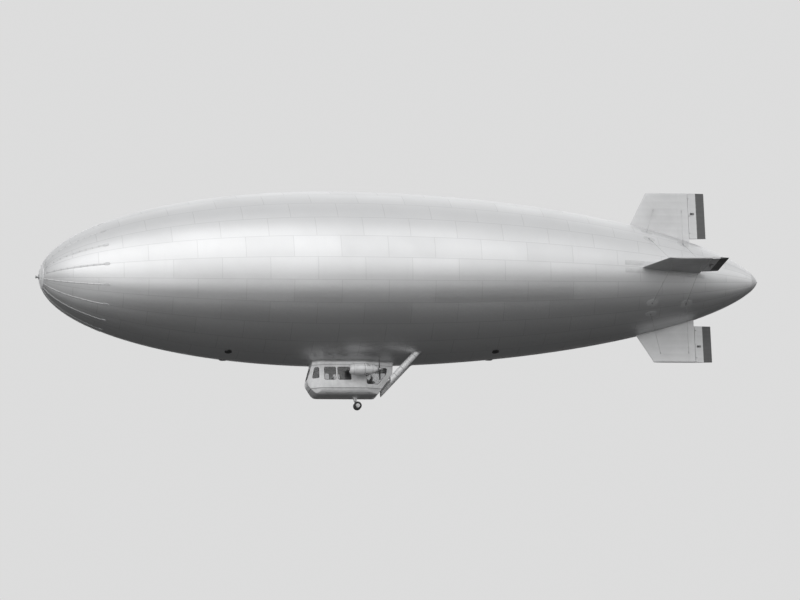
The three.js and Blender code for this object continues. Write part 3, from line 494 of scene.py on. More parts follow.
# Threads in a metre of each cloth
WEAVES = {"envelope cloth": 260.0, "patch cloth": 260.0, "fin cloth": 260.0, "surface cloth": 260.0,
          "seat cloth": 420.0, "floor mat": 300.0}
# Noise scales of clouds, streaks and grain, on large pieces and on small ones
LARGE_CLOTHS = ("envelope cloth", "fin cloth", "surface cloth")
LARGE_MARKS = (0.35, 1.6, 160.0)
SMALL_MARKS = (5.0, 14.0, 420.0)
# Clear finish: noise scales, share of dust, colour and dusty colour, roughness clean and dusty, what gives
# the bump with its strength and depth, transmission, and how far it bends light
CLEAR_FINISHES = {
    "window glass": ((6, 20, 500), 0.3, (0.55, 0.4125), (0.03, 0.12), ("Clouds", 0.08, 0.002), 1.0, 1.45),
    "lamp glass": ((20, 40, 600), 1.0, (0.75, 0.6), (0.06, 0.15), ("Grain", 0.1, 0.001), 0.6, 1.5),
}


def grey(value):
    """A grey with a trace of blue."""
    return (value, value * 1.004, value * 1.01, 1.0)


def new_material(name):
    material = bpy.data.materials.new(name)
    material.use_nodes = True
    material.node_tree.nodes.clear()
    nodes = Nodes(material.node_tree)
    surface = nodes.add("BsdfPrincipled")
    nodes.add("OutputMaterial", {"Surface": surface.outputs[0]}).location.y = 300
    return material, nodes, surface.inputs


def use_group(nodes, name, **values):
    made = nodes.tree.nodes.new("ShaderNodeGroup")
    made.node_tree = bpy.data.node_groups[name]
    made.location = (nodes.column * 190, -300)
    for label, value in values.items():
        made.inputs[label.replace("_", " ")].default_value = value
    return made.outputs


def use_weather(nodes, marks):
    return use_group(nodes, "Weather", Cloud_Size=marks[0], Streak_Size=marks[1], Grain_Size=marks[2])


def solid_finish(name, settings):
    """Cloth, paint, metal or rubber: colour, roughness and height vary over it."""
    colour, dark, rough, metallic, dirt, wear = FINISHES[name][1:]
    nodes, surface = new_material(name)[1:]
    weather = use_weather(nodes, LARGE_MARKS if name in LARGE_CLOTHS else SMALL_MARKS)
    soot = nodes.times(weather["Clouds"], dirt * settings.dirt)
    runs = nodes.times(weather["Streaks"], dirt * 0.8 * settings.dirt)
    shade = nodes.sum("MAXIMUM", soot, runs)
    base = nodes.mix(shade, grey(colour), grey(dark))
    base = nodes.mix(nodes.ramp(weather["Grain"], 0.3, 0.7, 0.0, 0.12), base, grey(colour * 0.6))
    height = nodes.times(weather["Grain"], 0.3)
    roughness = nodes.ramp(shade, 0.0, 0.5, rough, min(rough + 0.22, 1.0))
    if name == "envelope cloth":
        seams = use_group(nodes, "Gore seams")
        base = nodes.mix(nodes.times(seams["Tone"], 0.08), base, grey(colour * 0.72))
        base = nodes.mix(nodes.times(seams["Seam"], 0.3), base, grey(colour * 0.5))
        height = nodes.plus(height, seams["Seam"])
        roughness = nodes.plus(roughness, nodes.times(seams["Tone"], 0.06))
    if name in WEAVES:
        weave = use_group(nodes, "Cloth weave", Threads=WEAVES[name])
        height = nodes.plus(height, nodes.times(weave["Height"], 0.5))
        base = nodes.mix(nodes.times(weave["Height"], 0.10), base, grey(dark))
    if wear:
        rubbed = use_group(nodes, "Edge wear")["Wear"]
        bare = 0.4 if metallic < 0.5 and colour < 0.3 else colour * 1.25
        base = nodes.mix(nodes.times(rubbed, wear * settings.wear), base, grey(min(bare, 0.8)))
    nodes.join(base, surface["Base Color"])
    nodes.join(roughness, surface["Roughness"])
    surface["Metallic"].default_value = metallic
    nodes.bump(height, 0.35, 0.0012, surface)
    if name in ("seat cloth", "floor mat"):
        surface["Sheen Weight"].default_value = 0.3
    if name in ("car paint", "belly paint with painted shade"):
        surface["Coat Weight"].default_value = 0.25
        surface["Coat Roughness"].default_value = 0.2


def clear_finish(name):
    """Glass with dust on it and a little waviness."""
    marks, dust, colours, roughness, (bump, strength, depth), through, bend = CLEAR_FINISHES[name]
    nodes, surface = new_material(name)[1:]
    weather = use_weather(nodes, marks)
    shade = nodes.times(weather["Clouds"], dust)
    nodes.join(nodes.mix(shade, grey(colours[0]), grey(colours[1])), surface["Base Color"])
    nodes.join(nodes.ramp(weather["Clouds"], 0.2, 1.0, *roughness), surface["Roughness"])
    nodes.bump(weather[bump], strength, depth, surface)
    surface["Transmission Weight"].default_value = through
    surface["IOR"].default_value = bend
    surface["Metallic"].default_value = 0.0


# Sizes that a user would change


def metres(name, description, default):
    return FloatProperty(name=name, description=description, default=default, unit="LENGTH", precision=4)


def whole(name, description, default):
    return IntProperty(name=name, description=description, default=default, min=2)


def amount(name, description, default):
    return FloatProperty(name=name, description=description, default=default, min=0)


def degrees(name, description, default):
    return FloatProperty(name=name, description=description, default=math.radians(default), subtype="ANGLE")


class AirshipHull(bpy.types.PropertyGroup):
    gores: whole("Gores", "Lengthwise panels round the hull", 24)
    columns: whole("Columns", "Strips of faces in one gore", 6)
    fore_rows: whole("Fore rows", "Rows of faces ahead of the fullest place", 46)
    aft_rows: whole("Aft rows", "Rows of faces behind the fullest place", 60)
    gore_rise: metres("Gore rise", "How far the cloth swells between two seams", 0.007)
    battens: whole("Battens", "Stiffeners that fan out from the nose", 16)
    batten_end: metres("Batten end", "Station where the battens end", 2.4)
    valve_radius: metres("Valve radius", "Radius of each air valve", 0.15)


class AirshipTail(bpy.types.PropertyGroup):
    rib_spacing: metres("Rib spacing", "Distance between the ribs of a fin", 0.3)
    cloth_sag: metres("Cloth sag", "How far the cloth draws in between two ribs", 0.005)
    surface_ribs: whole("Surface ribs", "Bays in a rudder or elevator", 8)
    stay_radius: metres("Stay radius", "Radius of the fins' stays", 0.005)


class AirshipCar(bpy.types.PropertyGroup):
    edge_round: metres("Edge round", "Width of the rounding on panel edges", 0.0016)
    gasket: metres("Gasket", "Radius of the rubber round each pane", 0.0065)
    rivet: metres("Rivet", "Radius of a rivet head", 0.0032)
    rivet_spacing: metres("Rivet spacing", "Distance between rivets", 0.05)
    cushion_grain: metres("Cushion grain", "Size of the faces of a cushion before it swells", 0.009)
    swell: metres("Swell", "Furthest that a cushion's cover may swell", 0.009)


class AirshipPower(bpy.types.PropertyGroup):
    cowl_sides: whole("Cowl sides", "Faces round a nacelle", 56)
    blade_steps: whole("Blade steps", "Rows between two stations of a blade", 5)
    louvres: whole("Louvres", "Louvres on each side of a nacelle", 6)


class AirshipGear(bpy.types.PropertyGroup):
    wheel_sides: whole("Wheel sides", "Faces round a tyre", 64)
    hub_bolts: whole("Hub bolts", "Bolts in each wheel hub", 8)


class AirshipStage(bpy.types.PropertyGroup):
    distance: metres("Distance", "From the ship's centre to the camera", 327.0)
    azimuth: degrees("Azimuth", "Camera ahead of straight to port", 11.5)
    elevation: degrees("Elevation", "Camera above the ship's level", -14.5)
    roll: degrees("Roll", "Tilt of the picture", 2.46)
    lens: FloatProperty(name="Lens", description="Focal length of the camera", default=368.0, unit="CAMERA")
    eye: metres("Eye height", "Height of the camera over the floor", 0.8)
    sky: amount("Sky", "Strength of the light from above", 0.7)
    ground: amount("Ground", "Strength of the light from below", 0.075)
    sun: amount("Sun", "Strength of the broad lamp to port", 1.8)
    sun_angle: degrees("Sun angle", "Breadth of the broad lamp", 90)
    far_lamp: amount("Far lamp", "Strength of the lamp to starboard", 0.5)
    fore_lamp: amount("Fore lamp", "Strength of the lamp ahead", 0.8)
    aft_lamp: amount("Aft lamp", "Strength of the lamp behind", 0.6)
    dirt: amount("Dirt", "How much soot and rain marks show", 1.0)
    wear: amount("Wear", "How much rubbed edges show", 1.0)
    paper: FloatVectorProperty(name="Backdrop", description="Colour of the sky that the camera sees",
                               default=(0.72, 0.72, 0.72), subtype="COLOR")


class AirshipFinishes(bpy.types.Operator):
    """Builds the shared node groups and every material"""

    bl_idname = "airship.finishes"
    bl_label = "Finishes"

    def execute(self, context):
        for build in (weave_group, weather_group, wear_group, gore_group):
            build()
        for name in FINISHES:
            solid_finish(name, context.scene.airship_stage)
        for name in CLEAR_FINISHES:
            clear_finish(name)
        return {"FINISHED"}


FLOOR_REACH = 6000
SENSOR_WIDTH = 36
CLIP = (1, 3000)


class AirshipStageSet(bpy.types.Operator):
    """Sets the camera, the lights, the sky and the floor"""

    bl_idname = "airship.stage"
    bl_label = "Stage"

    def execute(self, context):
        scene = context.scene
        values = scene.airship_stage
        camera = bpy.data.objects.new("camera", bpy.data.cameras.new("camera"))
        scene.collection.objects.link(camera)
        scene.camera = camera
        centre = (CAD_BOX[0] + CAD_BOX[1]) / 2
        level = math.cos(values.elevation)
        aside, ahead = math.sin(values.azimuth), math.cos(values.azimuth)
        away = Vector((level * aside, level * ahead, math.sin(values.elevation)))
        right = (-away).cross(Vector((-math.sin(values.roll), 0, math.cos(values.roll)))).normalized()
        turn = Matrix((right, right.cross(-away), away)).transposed().to_4x4()
        camera.matrix_world = Matrix.Translation(centre + away * values.distance) @ turn
        camera.data.sensor_width = SENSOR_WIDTH
        camera.data.lens = values.lens
        camera.data.clip_start, camera.data.clip_end = CLIP
        self.floor(scene, camera.location.z - values.eye)
        self.light(scene, values)
        return {"FINISHED"}

    def floor(self, scene, height):
        mesh = bpy.data.meshes.new("floor")
        ways = ((-1, -1), (1, -1), (1, 1), (-1, 1))
        corners = [(u * FLOOR_REACH, v * FLOOR_REACH, height) for u, v in ways]
        mesh.from_pydata(corners, [], [(0, 1, 2, 3)])
        floor = bpy.data.objects.new("floor", mesh)
        scene.collection.objects.link(floor)
        floor.visible_diffuse = False
        floor.visible_glossy = False
        material, nodes, surface = new_material("floor")
        cloud = nodes.noise(nodes.place(), 0.02, 3.0)
        nodes.join(nodes.mix(cloud, grey(0.71), grey(0.69)), surface["Base Color"])
        surface["Roughness"].default_value = 1.0
        surface["Specular IOR Level"].default_value = 0.0
        mesh.materials.append(material)

    def light(self, scene, values):
        for name, strength, breadth, toward in (
            ("broad lamp", values.sun, values.sun_angle, (0.2, 0.8, 0.26)),
            ("far lamp", values.far_lamp, math.radians(70), (-0.3, -0.75, 0.5)),
            ("fore lamp", values.fore_lamp, math.radians(100), (1.0, 0.35, -0.15)),
            ("aft lamp", values.aft_lamp, math.radians(70), (-1.0, 0.2, 0.15)),
        ):
            lamp = bpy.data.lights.new(name, "SUN")
            lamp.energy = strength
            lamp.angle = breadth
            shining = bpy.data.objects.new(name, lamp)
            scene.collection.objects.link(shining)
            shining.rotation_euler = Vector(toward).to_track_quat("Z", "Y").to_euler()
        scene.world = bpy.data.worlds.new("sky")
        scene.world.use_nodes = True
        scene.world.node_tree.nodes.clear()
        nodes = Nodes(scene.world.node_tree)
        up = nodes.add("SeparateXYZ", {0: nodes.add("TexCoord").outputs["Generated"]}).outputs[2]
        above = nodes.ramp(up, -0.02, 0.12, values.ground, values.sky * 0.7)
        higher = nodes.ramp(up, 0.1, 0.9, 0.0, values.sky * 0.45)
        light = nodes.add("Background", {"Color": grey(1.0), "Strength": nodes.plus(above, higher)})
        paper = nodes.add("Background", {"Color": (*values.paper, 1), "Strength": 1.0})
        seen = nodes.add("LightPath").outputs["Is Camera Ray"]
        both = nodes.add("MixShader", {0: seen, 1: light.outputs[0], 2: paper.outputs[0]})
        nodes.add("OutputWorld", {"Surface": both.outputs[0]})
        scene.view_settings.view_transform = "Standard"


# Fins: name, turn about the hull, tip radius, inner and outer end of the surface behind it, its node and body
FINS = (
    ("top", 0, 3.7, 1.8, 3.69, "rudder_top", "upper_rudder"),
    ("bottom", 180, 3.35, 1.85, 3.34, "rudder_bottom", "lower_rudder"),
    ("port", -90, 3.81, 1.8, 3.8, "elevator_port", "port_elevator"),
    ("starboard", 90, 3.81, 1.8, 3.8, "elevator_starboard", "starboard_elevator"),
)
# Stays: station and radius of the top on the fin, station and turn of the foot on the hull
STAYS = ((25.15, 3.05, 24.5, 38), (26.3, 3.05, 26.0, 44))
FIN_ROOT = 1.3
FIN_REAR = 26.5497
TIP_ROUND = 0.07
# Leading edge's station, and half the thickest place of a section, at the root and at the shoulder
FIN_LEADS = (23.57, 24.8)
FIN_HALVES = (0.08, 0.056)
THICKEST = 0.34
STEPS_IN_BAY = 8
LUG_SHARES = (0.12, 0.5, 0.88)
LUG_EYE = ((-0.007, 0.017), (0.007, 0.017), (0.007, 0.0087), (-0.007, 0.0087))
FIN_STRIP = (23.3, 26.75)
STRIP_HALF = 0.1
STRIP_BESIDE = 0.155
# Cover of the tail's point: distance from the end, height
TAIL_COVER = ((0.3, SUNK), (0.3, 0.004), (0.27, 0.006), (0.2, 0.006), (0.12, 0.006), (0.06, 0.006),
              (0.02, 0.006), (0.004, 0.006))


class AirshipHullSkin(bpy.types.Operator):
    """Makes the gores of the envelope, with the pads cemented to them"""

    bl_idname = "airship.hull_skin"
    bl_label = "Hull skin"

    def execute(self, context):
        sizes = context.scene.airship_hull
        fore, aft = sizes.fore_rows, sizes.aft_rows
        stations = [FULLEST * (1 - math.cos(row / fore * QUARTER)) for row in range(fore)]
        reach = HULL_LENGTH - FULLEST
        stations += [FULLEST + reach * math.sin(row / aft * QUARTER) for row in range(aft + 1)]
        turns = angles(sizes.gores * sizes.columns)
        rings = [[on_skin(station, angle, 0.0) for angle in turns] for station in stations]
        piece("hull_skin", skinned(rings, ends=False), "ship", "envelope cloth", ["envelope"], angle=180)
        pads = []
        for fin in FINS:
            angle = math.pi + math.radians(fin[1])
            for side in (1, -1):
                pads.append(skin_strip(*FIN_STRIP, angle, STRIP_HALF, 0.003, 24, beside=side * STRIP_BESIDE))
                for unused_station, unused_radius, foot, turn in STAYS:
                    pads.append(skin_pad(foot, angle + side * math.radians(turn), 0.5, 0.3))
        turns = angles(48)
        rings = [[skin_point(HULL_LENGTH - back, turn, lift) for turn in turns] for back, lift in TAIL_COVER]
        pads.append(skinned(rings))
        piece("hull_pads", joined(pads), "ship", "patch cloth")
        return {"FINISHED"}


# Nose dish: station and height over the hull; its beads: station and radius
DISH = ((0.0, 0.0163), (0.01, 0.0163), (0.03, 0.0163), (0.06, 0.0163), (0.1, 0.0163), (0.114, 0.0155),
        (0.119, 0.011), (0.12, 0.003), (0.12, SUNK), (0.06, SUNK), (0.0, SUNK))
DISH_BEADS = ((0.113, 0.008), (0.035, 0.006))
DISH_SCREWS = 0.092
STRAPS = [0.2 + step * 0.24 for step in range(9)]
# Mooring spindle: place ahead of its base, radius
SPINDLE_BASE = NOSE_X + 0.016
SPINDLE = ((-0.03, 0), (-0.03, 0.092), (0.01, 0.095), (0.014, 0.092), (0.0155, 0.075), (0.02, 0.055),
           (0.03, 0.044), (0.034, 0.042), (0.092, 0.042), (0.097, 0.045), (0.103, 0.057), (0.107, 0.06),
           (0.126, 0.06), (0.13, 0.057), (0.13, 0.018), (0.122, 0.015), (0.122, 0))


class AirshipNose(bpy.types.Operator):
    """Makes the nose dish, its battens with their straps, and the mooring spindle"""

    bl_idname = "airship.nose"
    bl_label = "Nose"

    def execute(self, context):
        sizes = context.scene.airship_hull
        turns = angles(96)
        parts = [skinned([[skin_point(s, angle, lift) for angle in turns] for s, lift in DISH], ends=False)]
        for station, radius in DISH_BEADS:
            parts.append(tube([skin_point(station, angle, 0.015) for angle in turns], radius, loop=True))
        for angle in angles(2 * sizes.battens, 0.5):
            parts.append(dome(skin_point(DISH_SCREWS, angle, 0.0163), skin_normal(DISH_SCREWS, angle), 0.008))
        piece("nose_dish_skin", joined(parts), "ship", "car paint", ["nose_dish"])
        battens, straps = [], []
        end = sizes.batten_end
        for angle in angles(sizes.battens):
            battens.append(skin_strip(0.09, end, angle, 0.017, 0.0093, 34, taper=0.012))
            straps.append(skin_pad(end, angle, 0.24, 0.12, 0.0115))
            straps.append(skin_strip(0.13, end, angle, 0.038, 0.0025, 34))
            for station in STRAPS:
                straps.append(skin_strip(station, station + 0.045, angle, 0.05, 0.0115, 2, back=STRAP_BACK))
        piece("nose_battens", joined(battens), "ship", "car paint")
        piece("batten_straps", joined(straps), "ship", "patch cloth")
        parts = [turned(SPINDLE, 48, at=(SPINDLE_BASE, 0, 0))]
        bolt = [(-0.004, 0.006), (0.004, 0.006), (0.005, 0.005), (0.005, 0)]
        for angle in angles(8, 0.5):
            at = (SPINDLE_BASE + 0.0148, 0.082 * math.sin(angle), 0.082 * math.cos(angle))
            parts.append(turned(bolt, 6, at=at))
        piece("mooring_cone", joined(parts), "ship", "bare steel", ["mooring_spindle"])
        return {"FINISHED"}


# Air valves: name, station, degrees from the keel
VALVES = (("fore_port", 7.4, 12), ("fore_starboard", 7.4, -12), ("aft_port", 18.2, 12),
          ("aft_starboard", 18.2, -12))


class AirshipValves(bpy.types.Operator):
    """Makes the air valves on the lower flanks"""

    bl_idname = "airship.valves"
    bl_label = "Air valves"

    def execute(self, context):
        radius = context.scene.airship_hull.valve_radius
        flange = [(-0.02, radius + 0.014), (0.01, radius + 0.014), (0.013, radius + 0.01)]
        flange += [(0.013, radius - 0.012), (0.009, radius - 0.016), (-0.02, radius - 0.016)]
        cap = [(0.02, 0), (0.02, radius - 0.03), (0.024, radius - 0.024), (0.029, radius - 0.03)]
        cap += [(0.034, radius * 0.55), (0.0345, 0.03), (0.0375, 0.027), (0.038, 0)]
        well = [(-0.02, 0), (-0.02, radius - 0.014), (0.001, radius - 0.014), (0.001, 0)]
        for name, station, turn in VALVES:
            angle = math.radians(turn)
            out = Vector((0, math.sin(angle), -math.cos(angle)))
            at = skin_point(station, angle) - out * 0.004
            parts = [turned(flange, 56, ring=True, at=at, axis=out), turned(cap, 56, at=at, axis=out)]
            parts.append(turned(well, 56, at=at, axis=out))
            base = Matrix.Translation(at) @ out.to_track_quat("X", "Z").to_matrix().to_4x4()
            for place in angles(20):
                spin = base @ Matrix.Rotation(place, 4, "X")
                parts.append(placed(block((0.011, 0, radius - 0.032), (0.024, 0.004, 0.03), 0.001), spin))
                spin = spin @ Matrix.Rotation(TAU / 40, 4, "X")
                parts.append(placed(dome((0.012, 0, radius), (1, 0, 0), 0.0055), spin))
            piece("valve_" + name, joined(parts), "ship", "dark paint", ["air_valve_" + name])
        return {"FINISHED"}


CHORD_PLACES = (0, 0.004, 0.012, 0.025, 0.045, 0.07, 0.1, 0.14, 0.19, 0.25, THICKEST, 0.45, 0.56, 0.67,
                0.78, 0.89, 0.97, 1)
# Rudders and elevators, from the hinge line aft
CHORD = 0.64
SURFACE_NOSE = 0.045
SURFACE_EDGE = 0.005
SURFACE_SPLIT = 0.29
CLOTH_PLACES = (0.024, 0.06, 0.11, 0.17, 0.23, SURFACE_SPLIT)
BAND_PLACES = (SURFACE_SPLIT, 0.35, 0.41, 0.47, 0.53, 0.59, 0.628, CHORD)
STEPS_IN_RIB = 6
SLOT_HALF = 0.012
HORN = ((-0.02, 0.0), (-0.17, 0.0), (-0.085, 0.155), (-0.065, 0.172), (-0.045, 0.155))
# Stay fittings: start, end, radius; its base: height, radius
TURNBUCKLE = ((0.0, 0.05, 0.009), (0.16, 0.3, 0.011), (0.14, 0.32, 0.007))
STAY_BASE = ((-0.006, 0.04), (0.004, 0.04), (0.007, 0.036), (0.009, 0))


def between(ends, share):
    return ends[0] + (ends[1] - ends[0]) * share


def sag_at(sag, row, steps):
    """How far cloth draws in at a row of faces, with none at the ribs."""
    return sag * math.sin(math.pi * (row % steps) / steps) ** 0.8


def fin_section(half, rear, lead, height, sag):
    """One ring of a fin: up one side to the leading edge and down the other."""
    ring = []
    for side in (1, -1):
        for share in CHORD_PLACES[::-1] if side > 0 else CHORD_PLACES[1:]:
            if share < THICKEST:
                thick = half * math.sqrt(1 - (1 - share / THICKEST) ** 2)
            else:
                thick = half + (rear - half) * (share - THICKEST) / (1 - THICKEST)
            held = min(1, share / 0.05, (1 - share) / 0.03)
            ring.append((NOSE_X - lead - (FIN_REAR - lead) * share, side * (thick - sag * held), height))
    return ring


class AirshipFins(bpy.types.Operator):
    """Makes the cloth-covered fins with their hinge lugs and stays"""

    bl_idname = "airship.fins"
    bl_label = "Fins"

    def execute(self, context):
        sizes = context.scene.airship_tail
        for name, turn, tip, inner, outer, *unused in FINS:
            spin = Matrix.Rotation(math.radians(turn), 4, "X")
            shoulder = tip - TIP_ROUND
            rows = round((shoulder - FIN_ROOT) / sizes.rib_spacing) * STEPS_IN_BAY
            rings = []
            for row in range(rows):
                share = row / rows
                half, lead = between(FIN_HALVES, share), between(FIN_LEADS, share)
                sag = sag_at(sizes.cloth_sag, row, STEPS_IN_BAY)
                rings.append(fin_section(half, SURFACE_NOSE, lead, between((FIN_ROOT, shoulder), share), sag))
            for step in range(9):
                fall, rise = math.cos(step / 8 * QUARTER), math.sin(step / 8 * QUARTER)
                lead = FIN_LEADS[1] + TIP_ROUND * (1 - fall)
                rear = 0.018 + 0.027 * fall
                rings.append(fin_section(0.02 + 0.036 * fall, rear, lead, shoulder + TIP_ROUND * rise, 0))
            parts = [skinned(rings)]
            for share in LUG_SHARES:
                height = between((inner, outer), share)
                parts.append(turned(LUG_EYE, 28, ring=True, at=(HINGE_X, 0, height), axis=(0, 0, 1)))
                parts.append(block((HINGE_X + 0.037, 0, height), (0.05, 0.03, 0.0138), 0.002))
            fin = placed(joined(parts), spin)
            piece("fin_cloth_" + name, fin, "ship", "fin cloth", ["fin_" + name], angle=50)
            self.stays(name, turn, spin, sizes.stay_radius)
        return {"FINISHED"}

    def stays(self, name, turn, spin, stay_radius):
        parts = []
        for station, height, foot_station, foot_turn in STAYS:
            top = spin @ Vector((NOSE_X - station, 0, height))
            for side in (1, -1):
                angle = math.pi + math.radians(turn) + side * math.radians(foot_turn)
                foot = on_skin(foot_station, angle, 0.012)
                parts.append(tube([foot, top], stay_radius))
                way = (top - foot).normalized()
                for start, end, radius in TURNBUCKLE:
                    parts.append(tube([foot + way * start, foot + way * end], radius, 10))
                base = on_skin(foot_station, angle, 0.003)
                parts.append(turned(STAY_BASE, 24, at=base, axis=skin_normal(foot_station, angle)))
                reach = (top - foot).length * 0.965
                parts.append(tube([foot + way * (reach - 0.09), foot + way * reach], 0.009, 10))
        piece("stays_" + name, joined(parts), "ship", "bare steel")


def surface_half(back):
    """Half the thickness of a rudder or elevator at a distance behind its hinge."""
    return SURFACE_NOSE + (SURFACE_EDGE - SURFACE_NOSE) * back / CHORD


class AirshipSurfaces(bpy.types.Operator):
    """Makes the rudders and elevators with their hinge pins and horns"""

    bl_idname = "airship.surfaces"
    bl_label = "Rudders and elevators"

    def execute(self, context):
        sizes = context.scene.airship_tail
        for unused_name, turn, unused_tip, inner, outer, node, body in FINS:
            spin = Matrix.Rotation(math.radians(turn), 4, "X")
            slots = [between((inner, outer), share) for share in LUG_SHARES]
            band = self.skin(BAND_PLACES, inner, outer, sizes)
            piece(node + "_band", placed(band, spin), body, "surface cloth", [node], angle=50)
            parts = [self.skin(CLOTH_PLACES, inner, outer, sizes), *self.nose(inner, outer, slots)]
            piece(node + "_cloth", placed(joined(parts), spin), body, "fin cloth", [node], angle=50)
            metal = [tube([(HINGE_X, 0, inner + 0.04), (HINGE_X, 0, outer - 0.04)], 0.008, 12)]
            metal += self.horns(slots[1] + 0.09)
            piece(node + "_horns", placed(joined(metal), spin), body, "grey paint")
        return {"FINISHED"}

    def skin(self, places, inner, outer, sizes):
        rows = sizes.surface_ribs * STEPS_IN_RIB
        rings = []
        for row in range(rows + 1):
            height = inner + (outer - inner) * row / rows
            sag = sag_at(sizes.cloth_sag * 0.7, row, STEPS_IN_RIB)
            ring = []
            for side in (1, -1):
                for back in places if side > 0 else places[::-1]:
                    held = min(1, max(0, (back - CLOTH_PLACES[0]) / 0.04), (CHORD - back) / 0.06)
                    ring.append((HINGE_X - back, side * (surface_half(back) - sag * held), height))
            rings.append(ring)
        return skinned(rings)

    def nose(self, inner, outer, slots):
        """The round nose, cut away at each hinge lug."""
        rear = -0.03
        outline = [(rear, -surface_half(-rear))]
        for k in range(13):
            angle = math.pi * (k / 12 - 0.5)
            outline.append((SURFACE_NOSE * math.cos(angle), SURFACE_NOSE * math.sin(angle)))
        outline.append((rear, surface_half(-rear)))
        lows = [inner, *(slot + SLOT_HALF for slot in slots)]
        highs = [*(slot - SLOT_HALF for slot in slots), outer]
        shapes = []
        for pair in zip(lows, highs):
            shapes.append(skinned([[(HINGE_X + u, v, z) for u, v in outline] for z in pair]))
        return shapes

    def horns(self, middle):
        parts = []
        plate = round_rectangle(0.22, 0.09, 0.02)
        for side in (1, -1):
            outline = [(HINGE_X + u, side * v) for u, v in HORN]
            parts.append(slab(outline[::side], middle - 0.005, middle + 0.005, 0.0015))
            parts.append(dome((HINGE_X - 0.065, side * 0.155, middle + 0.004), (0, 0, 1), 0.009))
            tilt = set_at((HINGE_X - 0.1, side * surface_half(0.1), middle), -side * QUARTER, "X")
            parts.append(placed(slab(plate, -0.004, 0.003, 0.001), tilt))
        return parts


# Rays that meet the car from outside: the middles of their round ends, how far out they start, their spacing
RAY_ENDS = (2.2, 0.0)
RAY_REACH = 1.2
RAY_SPACING = 0.05
# Height and radius of each belt, and the heights of the rows of rivets
BELTS = ((FLOOR_Z + 0.004, 0.009), (CEILING_Z + 0.004, 0.006))
RIVET_ROWS = (FLOOR_Z + 0.025, FLOOR_Z - 0.025, CEILING_Z - 0.02, CEILING_Z + 0.02)
# Skirt: below the hull's skin and off the car, then off the car and over the hull's skin
SKIRT_ON_CAR = ((0.085, 0.002), (0.06, 0.007), (0.035, 0.022))
SKIRT_ON_HULL = ((0.05, 0.018), (0.1, 0.004), (0.1, SUNK), (0.0, -0.01))
SKIRT_LEVEL = -3.56


def car_tree(nodes):
    """The faces of some frame nodes, for rays to meet."""
    points, faces = [], []
    for node in nodes:
        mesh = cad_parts[node].data
        start = len(points)
        points += [vertex.co.copy() for vertex in mesh.vertices]
        faces += [[start + corner for corner in face.vertices] for face in mesh.polygons]
    return BVHTree.FromPolygons(points, faces)


def car_rays(spacing):
    """Starts and directions of rays that run in to the car from all round."""
    fore, aft = RAY_ENDS
    rays = []
    count = round((fore - aft) / spacing)
    arc = round(math.pi * RAY_REACH / spacing)
    for side in (1, -1):
        for step in range(count):
            share = step / count if side > 0 else 1 - step / count
            rays.append((Vector((aft + (fore - aft) * share, side * RAY_REACH, 0)), Vector((0, -side, 0))))
        for step in range(arc):
            angle = side * QUARTER - math.pi * step / arc
            way = Vector((math.cos(angle), math.sin(angle), 0))
            rays.append((Vector((fore if side > 0 else aft, 0, 0)) + way * RAY_REACH, -way))
    return rays


def car_loop(tree, height, spacing, out=0.0):
    """Points round the car at a height, each lifted off it, with their normals."""
    found = []
    for start, way in car_rays(spacing):
        point, normal = tree.ray_cast(start + Vector((0, 0, height)), way)[:2]
        if point is not None:
            found.append((point + normal * out, normal))
    return found


class AirshipCarShell(bpy.types.Operator):
    """Rounds the car's panels and adds its belts, rivets and the skirt under the hull"""

    bl_idname = "airship.car_shell"
    bl_label = "Car shell"

    def execute(self, context):
        sizes = context.scene.airship_car
        for node in CAR_PANELS:
            body = "door" if node == "cabin_door" else "ship"
            # The belly takes the darker grey, which is two-tone paint and also painted shade under the car
            softened(node, body, "belly paint with painted shade" if node == "car_belly" else "car paint", sizes.edge_round)
        tree = car_tree(CAR_PANELS)
        belts, rivets = [], []
        for height, radius in BELTS:
            path = [point for point, normal in car_loop(tree, height, RAY_SPACING, 0.001)]
            belts.append(tube(path, radius, loop=True))
        for height in RIVET_ROWS:
            for point, normal in car_loop(tree, height, sizes.rivet_spacing):
                rivets.append(dome(point, normal, sizes.rivet, sides=6))
        piece("car_belts", joined(belts), "ship", "grey paint")
        piece("car_rivets", joined(rivets), "ship", "car paint")
        self.skirt()
        return {"FINISHED"}

    def skirt(self):
        tree = car_tree(["car_roof"])
        rings = []
        for start, way in car_rays(RAY_SPACING):
            hit = tree.ray_cast(start + Vector((0, 0, SKIRT_LEVEL)), way)[0]
            if hit is None:
                continue
            top = -math.sqrt(hull_radius(NOSE_X - hit.x) ** 2 - hit.y**2)
            ring = []
            for drop, stand in SKIRT_ON_CAR:
                wall = tree.ray_cast(start + Vector((0, 0, top - drop)), way)[0] or hit
                ring.append(Vector((wall.x, wall.y, top - drop)) - way * stand)
            for stand, lift in SKIRT_ON_HULL:
                place = hit - way * stand
                angle = math.atan2(place.y, math.sqrt(hull_radius(NOSE_X - place.x) ** 2 - place.y**2))
                ring.append(skin_point(NOSE_X - place.x, angle, lift))
            ring.append(Vector((hit.x, hit.y, top - SKIRT_ON_CAR[0][0])) + way * 0.008)
            rings.append(ring)
        piece("car_skirt", skinned(rings, loop=True), "ship", "patch cloth")


# How far out the rays to side panes and to end panes start, and their spacing along a pane's outline
SIDE_REACH = 1.5
END_REACH = 3
PANE_SPACING = 0.03
# How far outside a pane its gasket and its screws lie
GASKET_OUT = 0.004
SCREWS_OUT = 0.022


